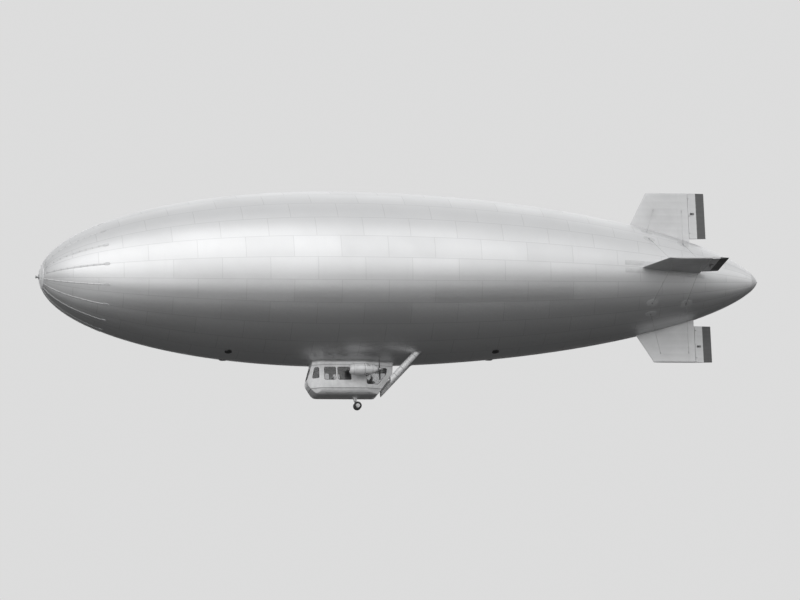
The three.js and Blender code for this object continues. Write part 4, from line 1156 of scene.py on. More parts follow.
def pane_loop(tree, node, sideways, grow):
    """The outline of a pane, grown and laid on the panel round it, with normals."""
    corners = [(v.co.x if sideways else v.co.y, v.co.z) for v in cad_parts[node].data.vertices]
    outline = grown([Vector(corners[at]) for at in outside_corners(corners)], grow)
    low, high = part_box(node)
    middle = (low + high) / 2
    found = []
    for at, corner in enumerate(outline):
        after = outline[(at + 1) % len(outline)]
        steps = max(1, round((after - corner).length / PANE_SPACING))
        for step in range(steps):
            u, v = corner.lerp(after, step / steps)
            if sideways:
                side = math.copysign(1, middle.y)
                start, way = Vector((u, side * SIDE_REACH, v)), Vector((0, -side, 0))
            else:
                side = math.copysign(1, middle.x - CAR_X)
                start, way = Vector((CAR_X + side * END_REACH, u, v)), Vector((-side, 0, 0))
            point, normal = tree.ray_cast(start, way)[:2]
            if point is not None and (point - middle).length < (high - low).length:
                found.append((point, normal))
    return found


def grown(outline, reach, steps=4):
    """A convex outline set outward by a distance, its corners rounded."""
    found = []
    for at, corner in enumerate(outline):
        turns = []
        for start, end in ((outline[at - 1], corner), (corner, outline[(at + 1) % len(outline)])):
            run = end - start
            turns.append(math.atan2(-run.x, run.y))
        turn = (turns[1] - turns[0]) % TAU
        for step in range(steps + 1):
            angle = turns[0] + turn * step / steps
            found.append(corner + Vector((math.cos(angle), math.sin(angle))) * reach)
    return found


def outside_corners(corners):
    """Order of the corners that lie on the outside of a flat set."""
    order = sorted(range(len(corners)), key=lambda at: corners[at])
    halves = []
    for run in (order, order[::-1]):
        half = []
        for at in run:
            while len(half) > 1:
                (u0, v0), (u1, v1) = corners[half[-2]], corners[half[-1]]
                u, v = corners[at]
                if (u1 - u0) * (v - v0) - (v1 - v0) * (u - u0) > 1e-7:
                    break
                half.pop()
            half.append(at)
        halves += half[:-1]
    return halves


class AirshipGlazing(bpy.types.Operator):
    """Glazes the car, with a rubber gasket and screws round each pane"""

    bl_idname = "airship.glazing"
    bl_label = "Glazing"

    def execute(self, context):
        sizes = context.scene.airship_car
        tree = car_tree(CAR_PANELS)
        gaskets = {"ship": [], "door": []}
        screws = {"ship": [], "door": []}
        for node, (body, sideways) in PANES.items():
            softened(node, body, "window glass", 0.0006, 25)
            path = [point for point, normal in pane_loop(tree, node, sideways, GASKET_OUT)]
            gaskets[body].append(tube(path, sizes.gasket, loop=True))
            for point, normal in pane_loop(tree, node, sideways, SCREWS_OUT)[::2]:
                screws[body].append(dome(point, normal, sizes.rivet, sides=6))
        for body in gaskets:
            piece("gaskets_" + body, joined(gaskets[body]), body, "gasket rubber")
            piece("pane_screws_" + body, joined(screws[body]), body, "bare steel")
        return {"FINISHED"}


# Seats: station of the back, y of the middle, width
SEATS = {
    "seat_pilot": (11.64, 0.24, 0.24),
    "seat_copilot": (11.64, -0.24, 0.24),
    "seat_passenger_port": (12.48, 0.24, 0.24),
    "seat_passenger_starboard": (12.48, -0.27, 0.24),
    "rear_bench": (13.2, 0, 0.7),
}
# Sewn channels for each width, as shares of it, and how wide and deep they are
CHANNELS = {0.24: (-0.25, 0, 0.25), 0.7: (-0.333, -0.167, 0, 0.167, 0.333)}
CHANNEL_WIDTH = 0.005
CHANNEL_DEPTH = 0.0045
# Cushions of the seat and of its back: depth, how much narrower than the seat, thickness, crown
SEAT_CUSHION = (0.17, 0.03, 0.046, 0.005)
REST_CUSHION = (0.24, 0.034, 0.026, 0.004)
SEAT_TURN = math.radians(-4)
SEAT_LEAN = -math.atan2(0.05, 0.316)
# Ahead of the seat's back, and height: the two cushions, the shell behind them and the hinges of the rest
SEAT_AT = (0.147, -4.413)
REST_AT = (0.0285, -4.232)
SHELL_AT = (-0.011, -4.262)
HINGE_AT = (0.02, -4.43)
PIVOT_HEIGHT = -4.418
# Blocks under the seat: ahead of its back, height, length, how much narrower than the seat, thickness
SEAT_BLOCKS = ((0.105, -4.53, 0.2, 0.016, 0.139), (0.111, -4.452, 0.222, 0.004, 0.018))
CUSHION_CORNER = 0.026
CUSHION_PULL = 0.006
# Rings of a cushion: share of its outline, share of its thickness; then the shares of the rings on its crown
CUSHION_EDGE = ((0.94, -0.5), (0.985, -0.42), (1, -0.25), (1, 0.2), (0.985, 0.36), (0.94, 0.46))
CUSHION_TOP = (0.85, 0.7, 0.5, 0.25, 0.03)
PIPING_LEVELS = (-0.3, 0.28)
AIR_PRESSURE = 4
MOMENTS = 20


def cushion_outline(depth, width):
    """A rounded rectangle whose sides pull in between its corners."""
    outline = []
    for u, v in round_rectangle(depth, width, CUSHION_CORNER, 5):
        reach_u, reach_v = u / depth * 2, v / width * 2
        pull_u = CUSHION_PULL * reach_u * (1 - reach_v**2)
        pull_v = CUSHION_PULL * reach_v * (1 - reach_u**2)
        outline.append((u - pull_u, v - pull_v))
    return outline


def cushion_shape(depth, width, thick, crown):
    outline = []
    loop = cushion_outline(depth, width)
    for at, (u, v) in enumerate(loop):
        after_u, after_v = loop[(at + 1) % len(loop)]
        steps = max(1, round(math.hypot(after_u - u, after_v - v) / 0.015))
        outline += [(u + (after_u - u) * k / steps, v + (after_v - v) * k / steps) for k in range(steps)]
    rings = [[(u * share, v * share, height * thick) for u, v in outline] for share, height in CUSHION_EDGE]
    for share in CUSHION_TOP:
        rings.append([(u * share, v * share, thick * 0.5 + crown * (1 - share**2)) for u, v in outline])
    return skinned(rings)


def swollen(made, sizes):
    """Runs cloth with air pressure on a piece and keeps what it settles to."""
    scene = bpy.context.scene
    even = made.modifiers.new("even", "REMESH")
    even.mode = "VOXEL"
    even.voxel_size = sizes.cushion_grain
    settled_mesh(made)
    rest = [vertex.co.copy() for vertex in made.data.vertices]
    cover = made.modifiers.new("cover", "CLOTH")
    cover.settings.use_pressure = True
    cover.settings.uniform_pressure_force = AIR_PRESSURE
    cover.settings.effector_weights.gravity = 0
    for moment in range(1, MOMENTS + 1):
        scene.frame_set(moment)
    settled_mesh(made)
    for vertex, before in zip(made.data.vertices, rest):
        move = vertex.co - before
        if move.length > sizes.swell:
            vertex.co = before + move.normalized() * sizes.swell
    scene.frame_set(1)
    finer = made.modifiers.new("finer", "SUBSURF")
    finer.levels = 1
    settled_mesh(made)


def settled_mesh(made):
    """Keeps the shape that an object's modifiers give it."""
    bpy.context.view_layer.update()
    graph = bpy.context.evaluated_depsgraph_get()
    mesh = bpy.data.meshes.new_from_object(made.evaluated_get(graph))
    old = made.data
    made.modifiers.clear()
    made.data = mesh
    bpy.data.meshes.remove(old)


def make_cushion(seat_width, kind, sizes):
    """A cushion about the origin: its shape with sewn channels, and the piping round it."""
    depth, less, thick, crown = kind
    width = seat_width - less
    mesh = bpy.data.meshes.new("cushion")
    points, faces = cushion_shape(depth, width, thick, crown)
    mesh.from_pydata([tuple(point) for point in points], [], faces)
    made = bpy.data.objects.new("cushion", mesh)
    bpy.context.scene.collection.objects.link(made)
    swollen(made, sizes)
    low = min(vertex.co.z for vertex in made.data.vertices)
    points = []
    for vertex in made.data.vertices:
        point = vertex.co.copy()
        if point.z > 0:
            for channel in CHANNELS[seat_width]:
                point.z -= CHANNEL_DEPTH * math.exp(-(((point.y - channel * width) / CHANNEL_WIDTH) ** 2))
        point.z = max(point.z, low + 0.004)
        points.append(point)
    faces = [tuple(face.vertices) for face in made.data.polygons]
    tree = BVHTree.FromPolygons(points, faces)
    piping = []
    for level in PIPING_LEVELS:
        loop = []
        for u, v in cushion_outline(depth, width):
            out = Vector((u, v, 0)).normalized()
            place = Vector((u, v, level * thick))
            loop.append(tree.ray_cast(place + out * 0.05, -out)[0] or place)
        piping.append(tube(loop, 0.0026, 6, loop=True))
    bpy.data.objects.remove(made)
    return (points, faces), joined(piping)


class AirshipSeats(bpy.types.Operator):
    """Makes the four seats and the rear bench, with their cushions"""

    bl_idname = "airship.seats"
    bl_label = "Seats"

    def execute(self, context):
        sizes = context.scene.airship_car
        made = {}
        for width in CHANNELS:
            made[width] = [make_cushion(width, kind, sizes) for kind in (SEAT_CUSHION, REST_CUSHION)]
        for name, (station, y, width) in SEATS.items():
            self.seat(name, NOSE_X - station, y, width, made[width])
        return {"FINISHED"}

    def seat(self, name, back, y, width, cushions):
        base, rest = cushions
        seat_turn = set_at((back + SEAT_AT[0], y, SEAT_AT[1]), SEAT_TURN, "Y")
        rest_turn = set_at((back + REST_AT[0], y, REST_AT[1]), SEAT_LEAN, "Y")
        rest_turn = rest_turn @ Matrix.Rotation(QUARTER, 4, "Y")
        made = piece(name + "_cushion", placed(base[0], seat_turn), "ship", "seat cloth", [name], angle=180)
        made = piece(name + "_rest", placed(rest[0], rest_turn), "ship", "seat cloth", [name], angle=180)
        pipes = [placed(base[1], seat_turn), placed(rest[1], rest_turn)]
        piece(name + "_piping", joined(pipes), "ship", "seam piping", [name])
        parts = []
        for ahead, height, length, less, thick in SEAT_BLOCKS:
            parts.append(block((back + ahead, y, height), (length, width - less, thick), 0.006))
        shell = set_at((back + SHELL_AT[0], y, SHELL_AT[1]), SEAT_LEAN * 0.9, "Y")
        parts.append(placed(block((0, 0, 0), (0.014, width - 0.006, 0.35), 0.005), shell))
        for side in (1, -1):
            x = back + HINGE_AT[0]
            parts.append(block((x, y + side * (width / 2 - 0.012), HINGE_AT[1]), (0.06, 0.012, 0.06), 0.004))
            pivot = [(x, y + side * (width / 2 - inward), PIVOT_HEIGHT) for inward in (0.004, 0.018)]
            parts.append(tube(pivot, 0.008, 12))
        piece(name + "_frame", joined(parts), "ship", "grey paint", [name])


DIALS = 9
DIAL_SPACING = 0.088
DIAL_Z = -4.35
SWITCHES = 14
SWITCH_SPACING = 0.052
SWITCH_Z = -4.412
# Console between the pilots: its middle and size; its levers; their knobs: place along, radius
CONSOLE_AT = (2.26, 0, -4.47)
CONSOLE = (0.16, 0.1, 0.256)
LEVERS = 6
LEVER_FOOT = (2.26, -0.036, -4.345)
LEVER_SPACING = 0.0145
KNOB = ((-0.01, 0), (-0.008, 0.006), (0.002, 0.008), (0.01, 0.005), (0.012, 0))
# Pedals: the y of each pilot, how far aside they are, their stem's ends, their middle, and where the bar is
PILOTS_Y = (0.24, -0.24)
PEDAL_ASIDE = (0.05, -0.05)
PEDAL_STEM = ((2.36, -4.599), (2.4, -4.5))
PEDAL_AT = (2.4, -4.49)
PEDAL_TURN = math.radians(-28)
PEDAL_BAR = (2.36, -4.58)
# Floor mat: its middle, length, width and corners; its ribs, their spacing and ends
MAT_X = 1.58
MAT = (1.56, 0.2, 0.03)
MAT_RIBS = 9
MAT_SPACING = 0.022
MAT_ENDS = (0.82, 2.1)
# Elevator wheel: its radius and middle, hub, stand's outline and stand's foot
WHEEL_RADIUS = 0.12
WHEEL_AT = Vector((NOSE_X - 11.5, 0.07, -4.33))
WHEEL_HUB = ((-0.022, 0), (-0.022, 0.014), (-0.016, 0.02), (0.006, 0.02), (0.01, 0.016), (0.012, 0.008),
             (0.012, 0))
WHEEL_STAND = ((-0.016, -0.27), (0.016, -0.27), (0.015, -0.02), (0.011, 0.011), (0, 0.0158), (-0.011, 0.011),
               (-0.015, -0.02))
STAND_FOOT = ((-0.001, 0.0), (-0.001, 0.026), (0.004, 0.026), (0.006, 0.02), (0.006, 0))


def spoke(angle):
    """A direction square to the Y axis."""
    return Vector((math.cos(angle), 0, math.sin(angle)))


class AirshipCockpit(bpy.types.Operator):
    """Makes the dials, levers, pedals, floor mat and the elevator wheel"""

    bl_idname = "airship.cockpit"
    bl_label = "Cockpit"

    def execute(self, context):
        softened("instrument_panel", "ship", "dark paint", context.scene.airship_car.edge_round)
        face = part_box("instrument_panel")[0].x
        rims, faces, hands = [], [], []
        for at in range(DIALS):
            radius = 0.034 if at % 4 else 0.038
            centre = Vector((face, (at - (DIALS - 1) / 2) * DIAL_SPACING, DIAL_Z))
            line = [(0.002, radius), (-0.006, radius), (-0.008, radius - 0.002), (-0.008, radius - 0.004)]
            line += [(-0.003, radius - 0.006), (0.002, radius - 0.006)]
            rims.append(turned(line, 40, ring=True, at=centre))
            line = [(0.002, 0), (0.002, radius - 0.005), (-0.0025, radius - 0.005), (-0.0025, 0)]
            faces.append(turned(line, 32, at=centre))
            for mark, angle in enumerate(angles(12)):
                size = (0.001, 0.0012, 0.006 if mark % 3 else 0.009)
                stroke = block((-0.003, 0, radius - 0.012), size, 0.0003)
                hands.append(placed(stroke, set_at(centre, angle, "X")))
            hand = block((-0.0045, 0, 0.008), (0.001, 0.002, 0.026), 0.0004)
            hands.append(placed(hand, set_at(centre, 0.9 + at * 1.3, "X")))
            hands.append(dome(centre + Vector((-0.0025, 0, 0)), (-1, 0, 0), 0.004))
        for at in range(SWITCHES):
            centre = Vector((face, (at - (SWITCHES - 1) / 2) * SWITCH_SPACING, SWITCH_Z))
            rims.append(dome(centre, (-1, 0, 0), 0.007, 0.6, 12))
            tip = centre + Vector((-0.016, 0, 0.006 if at % 3 else -0.006))
            rims.append(tube([centre, tip], [0.002, 0.003]))
        piece("dial_rims", joined(rims), "ship", "bare steel")
        piece("dial_faces", joined(faces), "ship", "dark paint")
        piece("dial_marks", joined(hands), "ship", "dial white")
        self.controls()
        self.wheel()
        return {"FINISHED"}

    def controls(self):
        parts = [block(CONSOLE_AT, CONSOLE, 0.012)]
        knobs = []
        for at in range(LEVERS):
            foot = Vector(LEVER_FOOT) + Vector((0, at * LEVER_SPACING, 0))
            lean = Vector((0.03 if at % 2 else -0.03, 0, 0.09))
            parts.append(tube([foot, foot + lean], 0.0028))
            knobs.append(turned(KNOB, 16, at=foot + lean, axis=lean))
        for pilot in PILOTS_Y:
            for y in [pilot + aside for aside in PEDAL_ASIDE]:
                parts.append(tube([(x, y, z) for x, z in PEDAL_STEM], 0.006, 10))
                turn = set_at((PEDAL_AT[0], y, PEDAL_AT[1]), PEDAL_TURN, "Y")
                parts.append(placed(block((0, 0, 0), (0.008, 0.05, 0.08), 0.003), turn))
            bar = [(PEDAL_BAR[0], pilot + aside, PEDAL_BAR[1]) for aside in (-0.09, 0.09)]
            parts.append(tube(bar, 0.007, 10))
        piece("controls", joined(parts), "ship", "grey paint")
        piece("lever_knobs", joined(knobs), "ship", "dark paint")
        parts = [slab(round_rectangle(*MAT), -0.002, 0.004, 0.001, at=(MAT_X, 0, FLOOR_Z))]
        for at in range(MAT_RIBS):
            y = (at - (MAT_RIBS - 1) / 2) * MAT_SPACING
            parts.append(tube([(x, y, FLOOR_Z + 0.004) for x in MAT_ENDS], 0.0022, 6))
        piece("floor_mat", joined(parts), "ship", "floor mat")

    def wheel(self):
        circle = [WHEEL_AT + spoke(angle) * WHEEL_RADIUS for angle in angles(56)]
        piece("wheel_rim", tube(circle, 0.0088, 14, loop=True), "ship", "dark paint", ["elevator_wheel"])
        parts = [turned(WHEEL_HUB, 28, at=WHEEL_AT, axis=(0, 1, 0))]
        for angle in angles(6):
            path = [WHEEL_AT + spoke(angle) * reach for reach in (0.012, 0.06, 0.119)]
            parts.append(tube(path, [0.0065, 0.0052, 0.0048], 10))
        turn = set_at(WHEEL_AT + Vector((0, -0.018, 0)), QUARTER, "X")
        parts.append(placed(slab(WHEEL_STAND, 0.0, 0.016, 0.002), turn))
        foot = (WHEEL_AT.x, WHEEL_AT.y - 0.026, FLOOR_Z + 0.001)
        parts.append(turned(STAND_FOOT, 24, at=foot, axis=(0, 0, 1)))
        piece("wheel_stand", joined(parts), "ship", "grey paint", ["elevator_wheel"])


# Hand rails: distance from the middle, height, stations of the brackets, and the rail's stations with radii
RAIL_Y = 0.56
RAIL_Z = -4.79
RAIL_BRACKETS = (11.35, 12.2, 13.05)
RAIL = ((13.15, 0.004), (13.149, 0.009), (13.145, 0.011), (11.255, 0.011), (11.251, 0.009), (11.25, 0.004))
# Bracket's foot and its ring round the rail: place along, radius
BRACKET_FOOT = ((-0.004, 0.022), (0.003, 0.022), (0.005, 0.018), (0.005, 0))
BRACKET_RING = ((-0.016, 0.0112), (-0.015, 0.0135), (0.015, 0.0135), (0.016, 0.0112))


class AirshipRails(bpy.types.Operator):
    """Makes the hand rails along the bottom of the car"""

    bl_idname = "airship.rails"
    bl_label = "Hand rails"

    def execute(self, context):
        tree = car_tree(["car_belly"])
        for name, side in SIDES:
            path = [(NOSE_X - station, side * RAIL_Y, RAIL_Z) for station, radius in RAIL]
            parts = [tube(path, [radius for station, radius in RAIL], 20)]
            for station in RAIL_BRACKETS:
                at = Vector((NOSE_X - station, side * RAIL_Y, RAIL_Z))
                inward = Vector((0, -side, 0))
                wall, normal = tree.ray_cast(at - inward * 0.64, inward)[:2]
                parts.append(tube([wall + inward * 0.006, at], [0.0085, 0.0062], 12))
                parts.append(turned(BRACKET_FOOT, 20, at=wall, axis=normal))
                parts.append(turned(BRACKET_RING, 20, at=at))
            piece("rail_" + name, joined(parts), "ship", "bare steel", ["hand_rail_" + name])
        return {"FINISHED"}


# Nacelle: station, radius
NACELLE = ((12.18, 0.096), (12.186, 0.124), (12.206, 0.154), (12.245, 0.184), (12.31, 0.211), (12.4, 0.229),
           (12.52, 0.236), (12.76, 0.235), (12.93, 0.218), (13.08, 0.188), (13.2, 0.15), (13.28, 0.108),
           (13.32, 0.07))
NACELLE_WALL = 0.009
NACELLE_Y = 1.0
NACELLE_Z = -3.95
# Ends of its inner wall, the hole for the shaft at its rear, and the lip of its mouth
WALL_ENDS = (12.2, 13.06)
SHAFT_HOLE = ((13.23, 0), (13.23, 0.0226), (13.32, 0.0226), (13.3205, 0.066))
COWL_LIP = ((12.1805, 0.0915), (12.181, 0.0885), (12.185, 0.094), (12.195, 0.112), (12.2, 0.118))
COWL_BANDS = (12.36, 12.78, 13.1)
BAND_HALF = 0.009
SEAM_ENDS = (12.4, 13.06)
SEAM_TURN = 0.35
# Louvres: first station, spacing and the angles of the two rows on each side
LOUVRE_STATION = 12.86
LOUVRE_SPACING = 0.026
LOUVRE_LEVELS = (0.55, 0.95)
# Engine: stations of its middle, of the flange ahead of it and of its cylinders; its flange and intake pipes
ENGINE_STATION = 12.68
FLANGE_STATION = 12.43
CYLINDERS = (12.53, 12.68, 12.83)
ENGINE_FLANGE = ((-0.011, 0), (-0.011, 0.05), (0.0, 0.056), (0.011, 0.05), (0.011, 0))
INTAKE = ((0.1, 0.05), (0.055, 0.08), (0.02, 0.085))
# Exhaust: station and place of its start, its path, and the rim of its end
EXHAUST_STATION = 12.83
EXHAUST_AT = (0.1, -0.17)
EXHAUST = ((0, 0, 0), (-0.03, 0.012, -0.045), (-0.085, 0.016, -0.07), (-0.14, 0.016, -0.075))
EXHAUST_RIM = ((-0.006, 0.0145), (-0.006, 0.0195), (0.004, 0.0195), (0.004, 0.0145))
# Outrigger: station, half height; then the shares of its length with a row of faces
OUTRIGGER = ((12.42, 0.003), (12.445, 0.024), (12.49, 0.038), (12.61, 0.044), (12.74, 0.028), (12.86, 0.004))
OUTRIGGER_ROWS = (0, 0.04, 0.09, 0.16, 0.35, 0.65, 0.84, 0.91, 0.96, 1)
OUTRIGGER_STATION = 12.61
OUTRIGGER_Y = 0.533
PROPELLER_STATION = 13.4
# Blade: radius, chord, thickness, pitch in degrees; its round end; the painted tip; and its section as shares
BLADE = ((0.03, 0.06, 0.034, 50), (0.15, 0.088, 0.02, 38), (0.32, 0.092, 0.012, 24), (0.47, 0.062, 0.007, 17),
         (0.492, 0.034, 0.0045, 16))
BLADE_END = ((0.4942, 0.018, 0.0028, 16), (0.495, 0.006, 0.0012, 16))
BLADE_TIP = (0.43, 0.4925)
BLADE_SECTION = ((0.5, 0.0), (0.46, 0.12), (0.38, 0.27), (0.25, 0.4), (0.1, 0.48), (-0.05, 0.47),
                 (-0.2, 0.38), (-0.35, 0.22), (-0.46, 0.08), (-0.5, 0.0), (-0.4, -0.05), (-0.2, -0.1),
                 (0.0, -0.15), (0.2, -0.2), (0.38, -0.16), (0.47, -0.07))
# Spinner's curve, then its rim ahead, and the shaft: place, radius
SPINNER = ((0.034, 0.062), (-0.03, 0.0622), (-0.05, 0.0605), (-0.075, 0.054), (-0.104, 0.0425),
           (-0.125, 0.029), (-0.141, 0.0155), (-0.148, 0.006), (-0.15, 0))
SPINNER_RIM = ((0.0445, 0.0555), (0.046, 0.05), (0.046, 0))
SHAFT = ((0, 0), (0, 0.022), (0.162, 0.022), (0.162, 0))


def outward(angle):
    """A direction square to the X axis."""
    return Vector((0, math.sin(angle), math.cos(angle)))


def nacelle_radius(station):
    for (fore, low), (aft, high) in zip(NACELLE, NACELLE[1:]):
        if fore <= station <= aft:
            return low + (high - low) * (station - fore) / (aft - fore)
    return NACELLE[-1][1]


def on_cowl(at, station, out, lift):
    """A point on a nacelle, lifted off it."""
    return at + Vector((NOSE_X - station, 0, 0)) + out * (nacelle_radius(station) + lift)


class AirshipNacelles(bpy.types.Operator):
    """Makes the two nacelles with their engines and the outriggers that carry them"""

    bl_idname = "airship.nacelles"
    bl_label = "Nacelles"

    def execute(self, context):
        sizes = context.scene.airship_power
        for name, side in SIDES:
            at = Vector((0, side * NACELLE_Y, NACELLE_Z))
            self.cowl(name, at, sizes)
            self.fittings(name, at, sizes)
            self.engine(name, at)
            self.outrigger(name, side)
        return {"FINISHED"}

    def cowl(self, name, at, sizes):
        outer = smoothed(NACELLE, 3)
        fore, aft = WALL_ENDS
        inner = [(station, radius - NACELLE_WALL) for station, radius in outer if fore < station < aft]
        line = [*SHAFT_HOLE, *outer[::-1], *COWL_LIP, *inner[1:], (aft, 0)]
        parts = [turned([(NOSE_X - station, radius) for station, radius in line], sizes.cowl_sides, at=at)]
        parts.append(block(at + Vector((NOSE_X - ENGINE_STATION, 0, -0.148)), (0.52, 0.24, 0.035), 0.006))
        piece("cowl_" + name, joined(parts), "ship", "car paint", ["nacelle_" + name], angle=30)

    def fittings(self, name, at, sizes):
        bands, studs, dark = [], [], []
        for station in COWL_BANDS:
            radius = nacelle_radius(station)
            low, high = radius - 0.004, radius + 0.0012
            line = [(-BAND_HALF, low), (-BAND_HALF, high), (BAND_HALF, high), (BAND_HALF, low)]
            middle = at + Vector((NOSE_X - station, 0, 0))
            bands.append(turned(line, sizes.cowl_sides, ring=True, at=middle))
            for angle in angles(28, 0.5):
                out = outward(angle)
                studs.append(dome(middle + out * (radius + 0.001), out, 0.0034, 0.5, 6))
        for turn in (SEAM_TURN, math.pi - SEAM_TURN, math.pi + SEAM_TURN, TAU - SEAM_TURN):
            out = outward(turn + QUARTER)
            path = [on_cowl(at, between(SEAM_ENDS, step / 12), out, 0.0002) for step in range(13)]
            bands.append(tube(path, 0.0022, 6))
        for row in range(sizes.louvres):
            for side in (1, -1):
                for level in LOUVRE_LEVELS:
                    out = Vector((0, side * math.cos(level), math.sin(level)))
                    centre = on_cowl(at, LOUVRE_STATION + row * LOUVRE_SPACING, out, -0.001)
                    edge = Vector((0, -out.z, out.y)) * 0.036
                    path = [centre + edge * share for share in (-1, -0.8, 0.8, 1)]
                    dark.append(tube(path, [0.001, 0.005, 0.005, 0.001]))
        for side in (1, -1):
            start = at + Vector((NOSE_X - EXHAUST_STATION, side * EXHAUST_AT[0], EXHAUST_AT[1]))
            path = [start + Vector((x, side * y, z)) for x, y, z in EXHAUST]
            dark.append(tube(path, 0.018, 18))
            dark.append(turned(EXHAUST_RIM, 18, ring=True, at=path[-1]))
        piece("cowl_bands_" + name, joined(bands), "ship", "grey paint")
        piece("cowl_studs_" + name, joined(studs), "ship", "bare steel")
        piece("cowl_vents_" + name, joined(dark), "ship", "dark paint")

    def engine(self, name, at):
        middle = at + Vector((NOSE_X - ENGINE_STATION, 0, 0))
        parts = [block(middle + Vector((0, 0, -0.02)), (0.5, 0.11, 0.16), 0.02)]
        parts.append(block(middle + Vector((0, 0, -0.108)), (0.4, 0.14, 0.042), 0.01))
        parts.append(turned(ENGINE_FLANGE, 32, at=at + Vector((NOSE_X - FLANGE_STATION, 0, 0))))
        line = [(0.05, 0.0), (0.05, 0.036)]
        for fin in range(9):
            place = 0.056 + fin * 0.0078
            line += [(place, 0.036), (place, 0.052), (place + 0.0028, 0.052), (place + 0.0028, 0.036)]
        line += [(0.129, 0.04), (0.137, 0.036), (0.1395, 0.02), (0.1395, 0)]
        for station in CYLINDERS:
            foot = at + Vector((NOSE_X - station, 0, -0.01))
            for side in (1, -1):
                parts.append(turned(line, 24, at=foot, axis=(0, side, 0)))
                parts.append(tube([foot + Vector((0, side * y, z)) for y, z in INTAKE], 0.008, 10))
        piece("engine_works_" + name, joined(parts), "ship", "cast metal", ["engine_" + name])

    def outrigger(self, name, side):
        places = smoothed(OUTRIGGER, 5)
        section = [*places, *((station, -half) for station, half in places[::-1])]
        rings = []
        for share in OUTRIGGER_ROWS:
            swell = 0.32 * max(0, 1 - min(share, 1 - share) / 0.14) ** 2
            ring = []
            for station, half in section:
                reach = nacelle_radius(station) - 0.004
                high = half * (1 + swell)
                far = NACELLE_Y - math.sqrt(max(reach**2 - high**2, 0.0001))
                behind = (station - OUTRIGGER_STATION) * (1 + swell * 0.12)
                y = between((OUTRIGGER_Y, far), share)
                ring.append((NOSE_X - OUTRIGGER_STATION - behind, side * y, NACELLE_Z + high))
            rings.append(ring)
        parts = [skinned(rings)]
        for share in (0.3, 0.7):
            path = [Vector(start).lerp(Vector(end), share) for start, end in zip(rings[4], rings[5])]
            parts.append(tube(path, 0.0014, 5, loop=True))
        piece("outrigger_skin_" + name, joined(parts), "ship", "car paint", ["outrigger_" + name], angle=50)


class AirshipPropellers(bpy.types.Operator):
    """Makes the two pusher propellers"""

    bl_idname = "airship.propellers"
    bl_label = "Propellers"

    def execute(self, context):
        rows = [*smoothed(BLADE, context.scene.airship_power.blade_steps), *BLADE_END]
        painted = [row for row in rows if BLADE_TIP[0] < row[0] < BLADE_TIP[1]]
        for name, side in SIDES:
            body, node = name + "_propeller", "propeller_" + name
            hub = Vector((NOSE_X - PROPELLER_STATION, side * NACELLE_Y, NACELLE_Z))
            turns = [set_at(hub, flip, "X") for flip in (0, math.pi)]
            blades = [placed(skinned([self.section(row, 0) for row in rows]), turn) for turn in turns]
            piece("blades_" + name, joined(blades), body, "dark paint", [node], angle=50)
            tips = [placed(skinned([self.section(row, 0.0005) for row in painted]), turn) for turn in turns]
            piece("blade_tips_" + name, joined(tips), body, "dial white", angle=50)
            line = [*smoothed(SPINNER, 3)[::-1], *SPINNER_RIM]
            parts = [turned(line, 48, at=hub), turned(SHAFT, 32, at=hub)]
            for angle in angles(8, 0.5):
                out = outward(angle)
                parts.append(dome(hub + Vector((0.026, 0, 0)) + out * 0.0618, out, 0.0032, 0.5, 6))
            piece("spinner_" + name, joined(parts), body, "bare steel", [node])
        return {"FINISHED"}

    def section(self, row, grow):
        """One ring of a blade, grown by a distance."""
        radius, chord, thick, pitch = row
        turn = Matrix.Rotation(-math.radians(pitch), 2)
        ring = []
        for share, off in BLADE_SECTION:
            u = off * thick + math.copysign(grow, off) * (off != 0)
            v = share * chord + math.copysign(grow, share)
            ring.append((*(turn @ Vector((u, v))), radius))
        return ring


# Scoops: station and height of the mouth and of the upper end, and the duct's radii outside and inside
SCOOP_ENDS = ((13.8, -4.43), (15.1, -3.095))
DUCT = 0.12
DUCT_BORE = 0.111
DUCT_SIDES = 48
HOOPS = (0.32, 0.72, 1.12, 1.44)
SEAM_STEPS = range(3, 15)
DAMPER = ((-0.002, 0), (-0.002, 0.1), (0.002, 0.1), (0.002, 0))
DAMPER_TURN = math.radians(58)
DAMPER_PLACE = 0.34
# Boot: how far off the duct and along it each loop lies, and the same of its outer edge off duct and hull
BOOT = ((0.001, 0.03), (0.003, -0.075), (0.01, -0.028))
BOOT_EDGE = (0.07, 0.009)
BOOT_SEARCH = (0.6, 1.86)


class Duct:
    """A slanted duct, cut level at its mouth."""

    def __init__(self, side):
        ends = [Vector((NOSE_X - station, side * NACELLE_Y, height)) for station, height in SCOOP_ENDS]
        self.low = ends[0]
        self.length = (ends[1] - ends[0]).length
        self.way = (ends[1] - ends[0]).normalized()
        self.over = self.way.cross(Vector((0, 1, 0)))

    def ring(self, radius, place=None, off=0.0):
        """A ring at a distance along the duct, or on its mouth."""
        found = []
        for angle in angles(DUCT_SIDES):
            out = Vector((0, 1, 0)) * math.cos(angle) + self.over * math.sin(angle)
            start = -radius * math.sin(angle) * self.over.x / self.way.x if place is None else place
            found.append(self.low + self.way * (start + off) + out * radius)
        return found


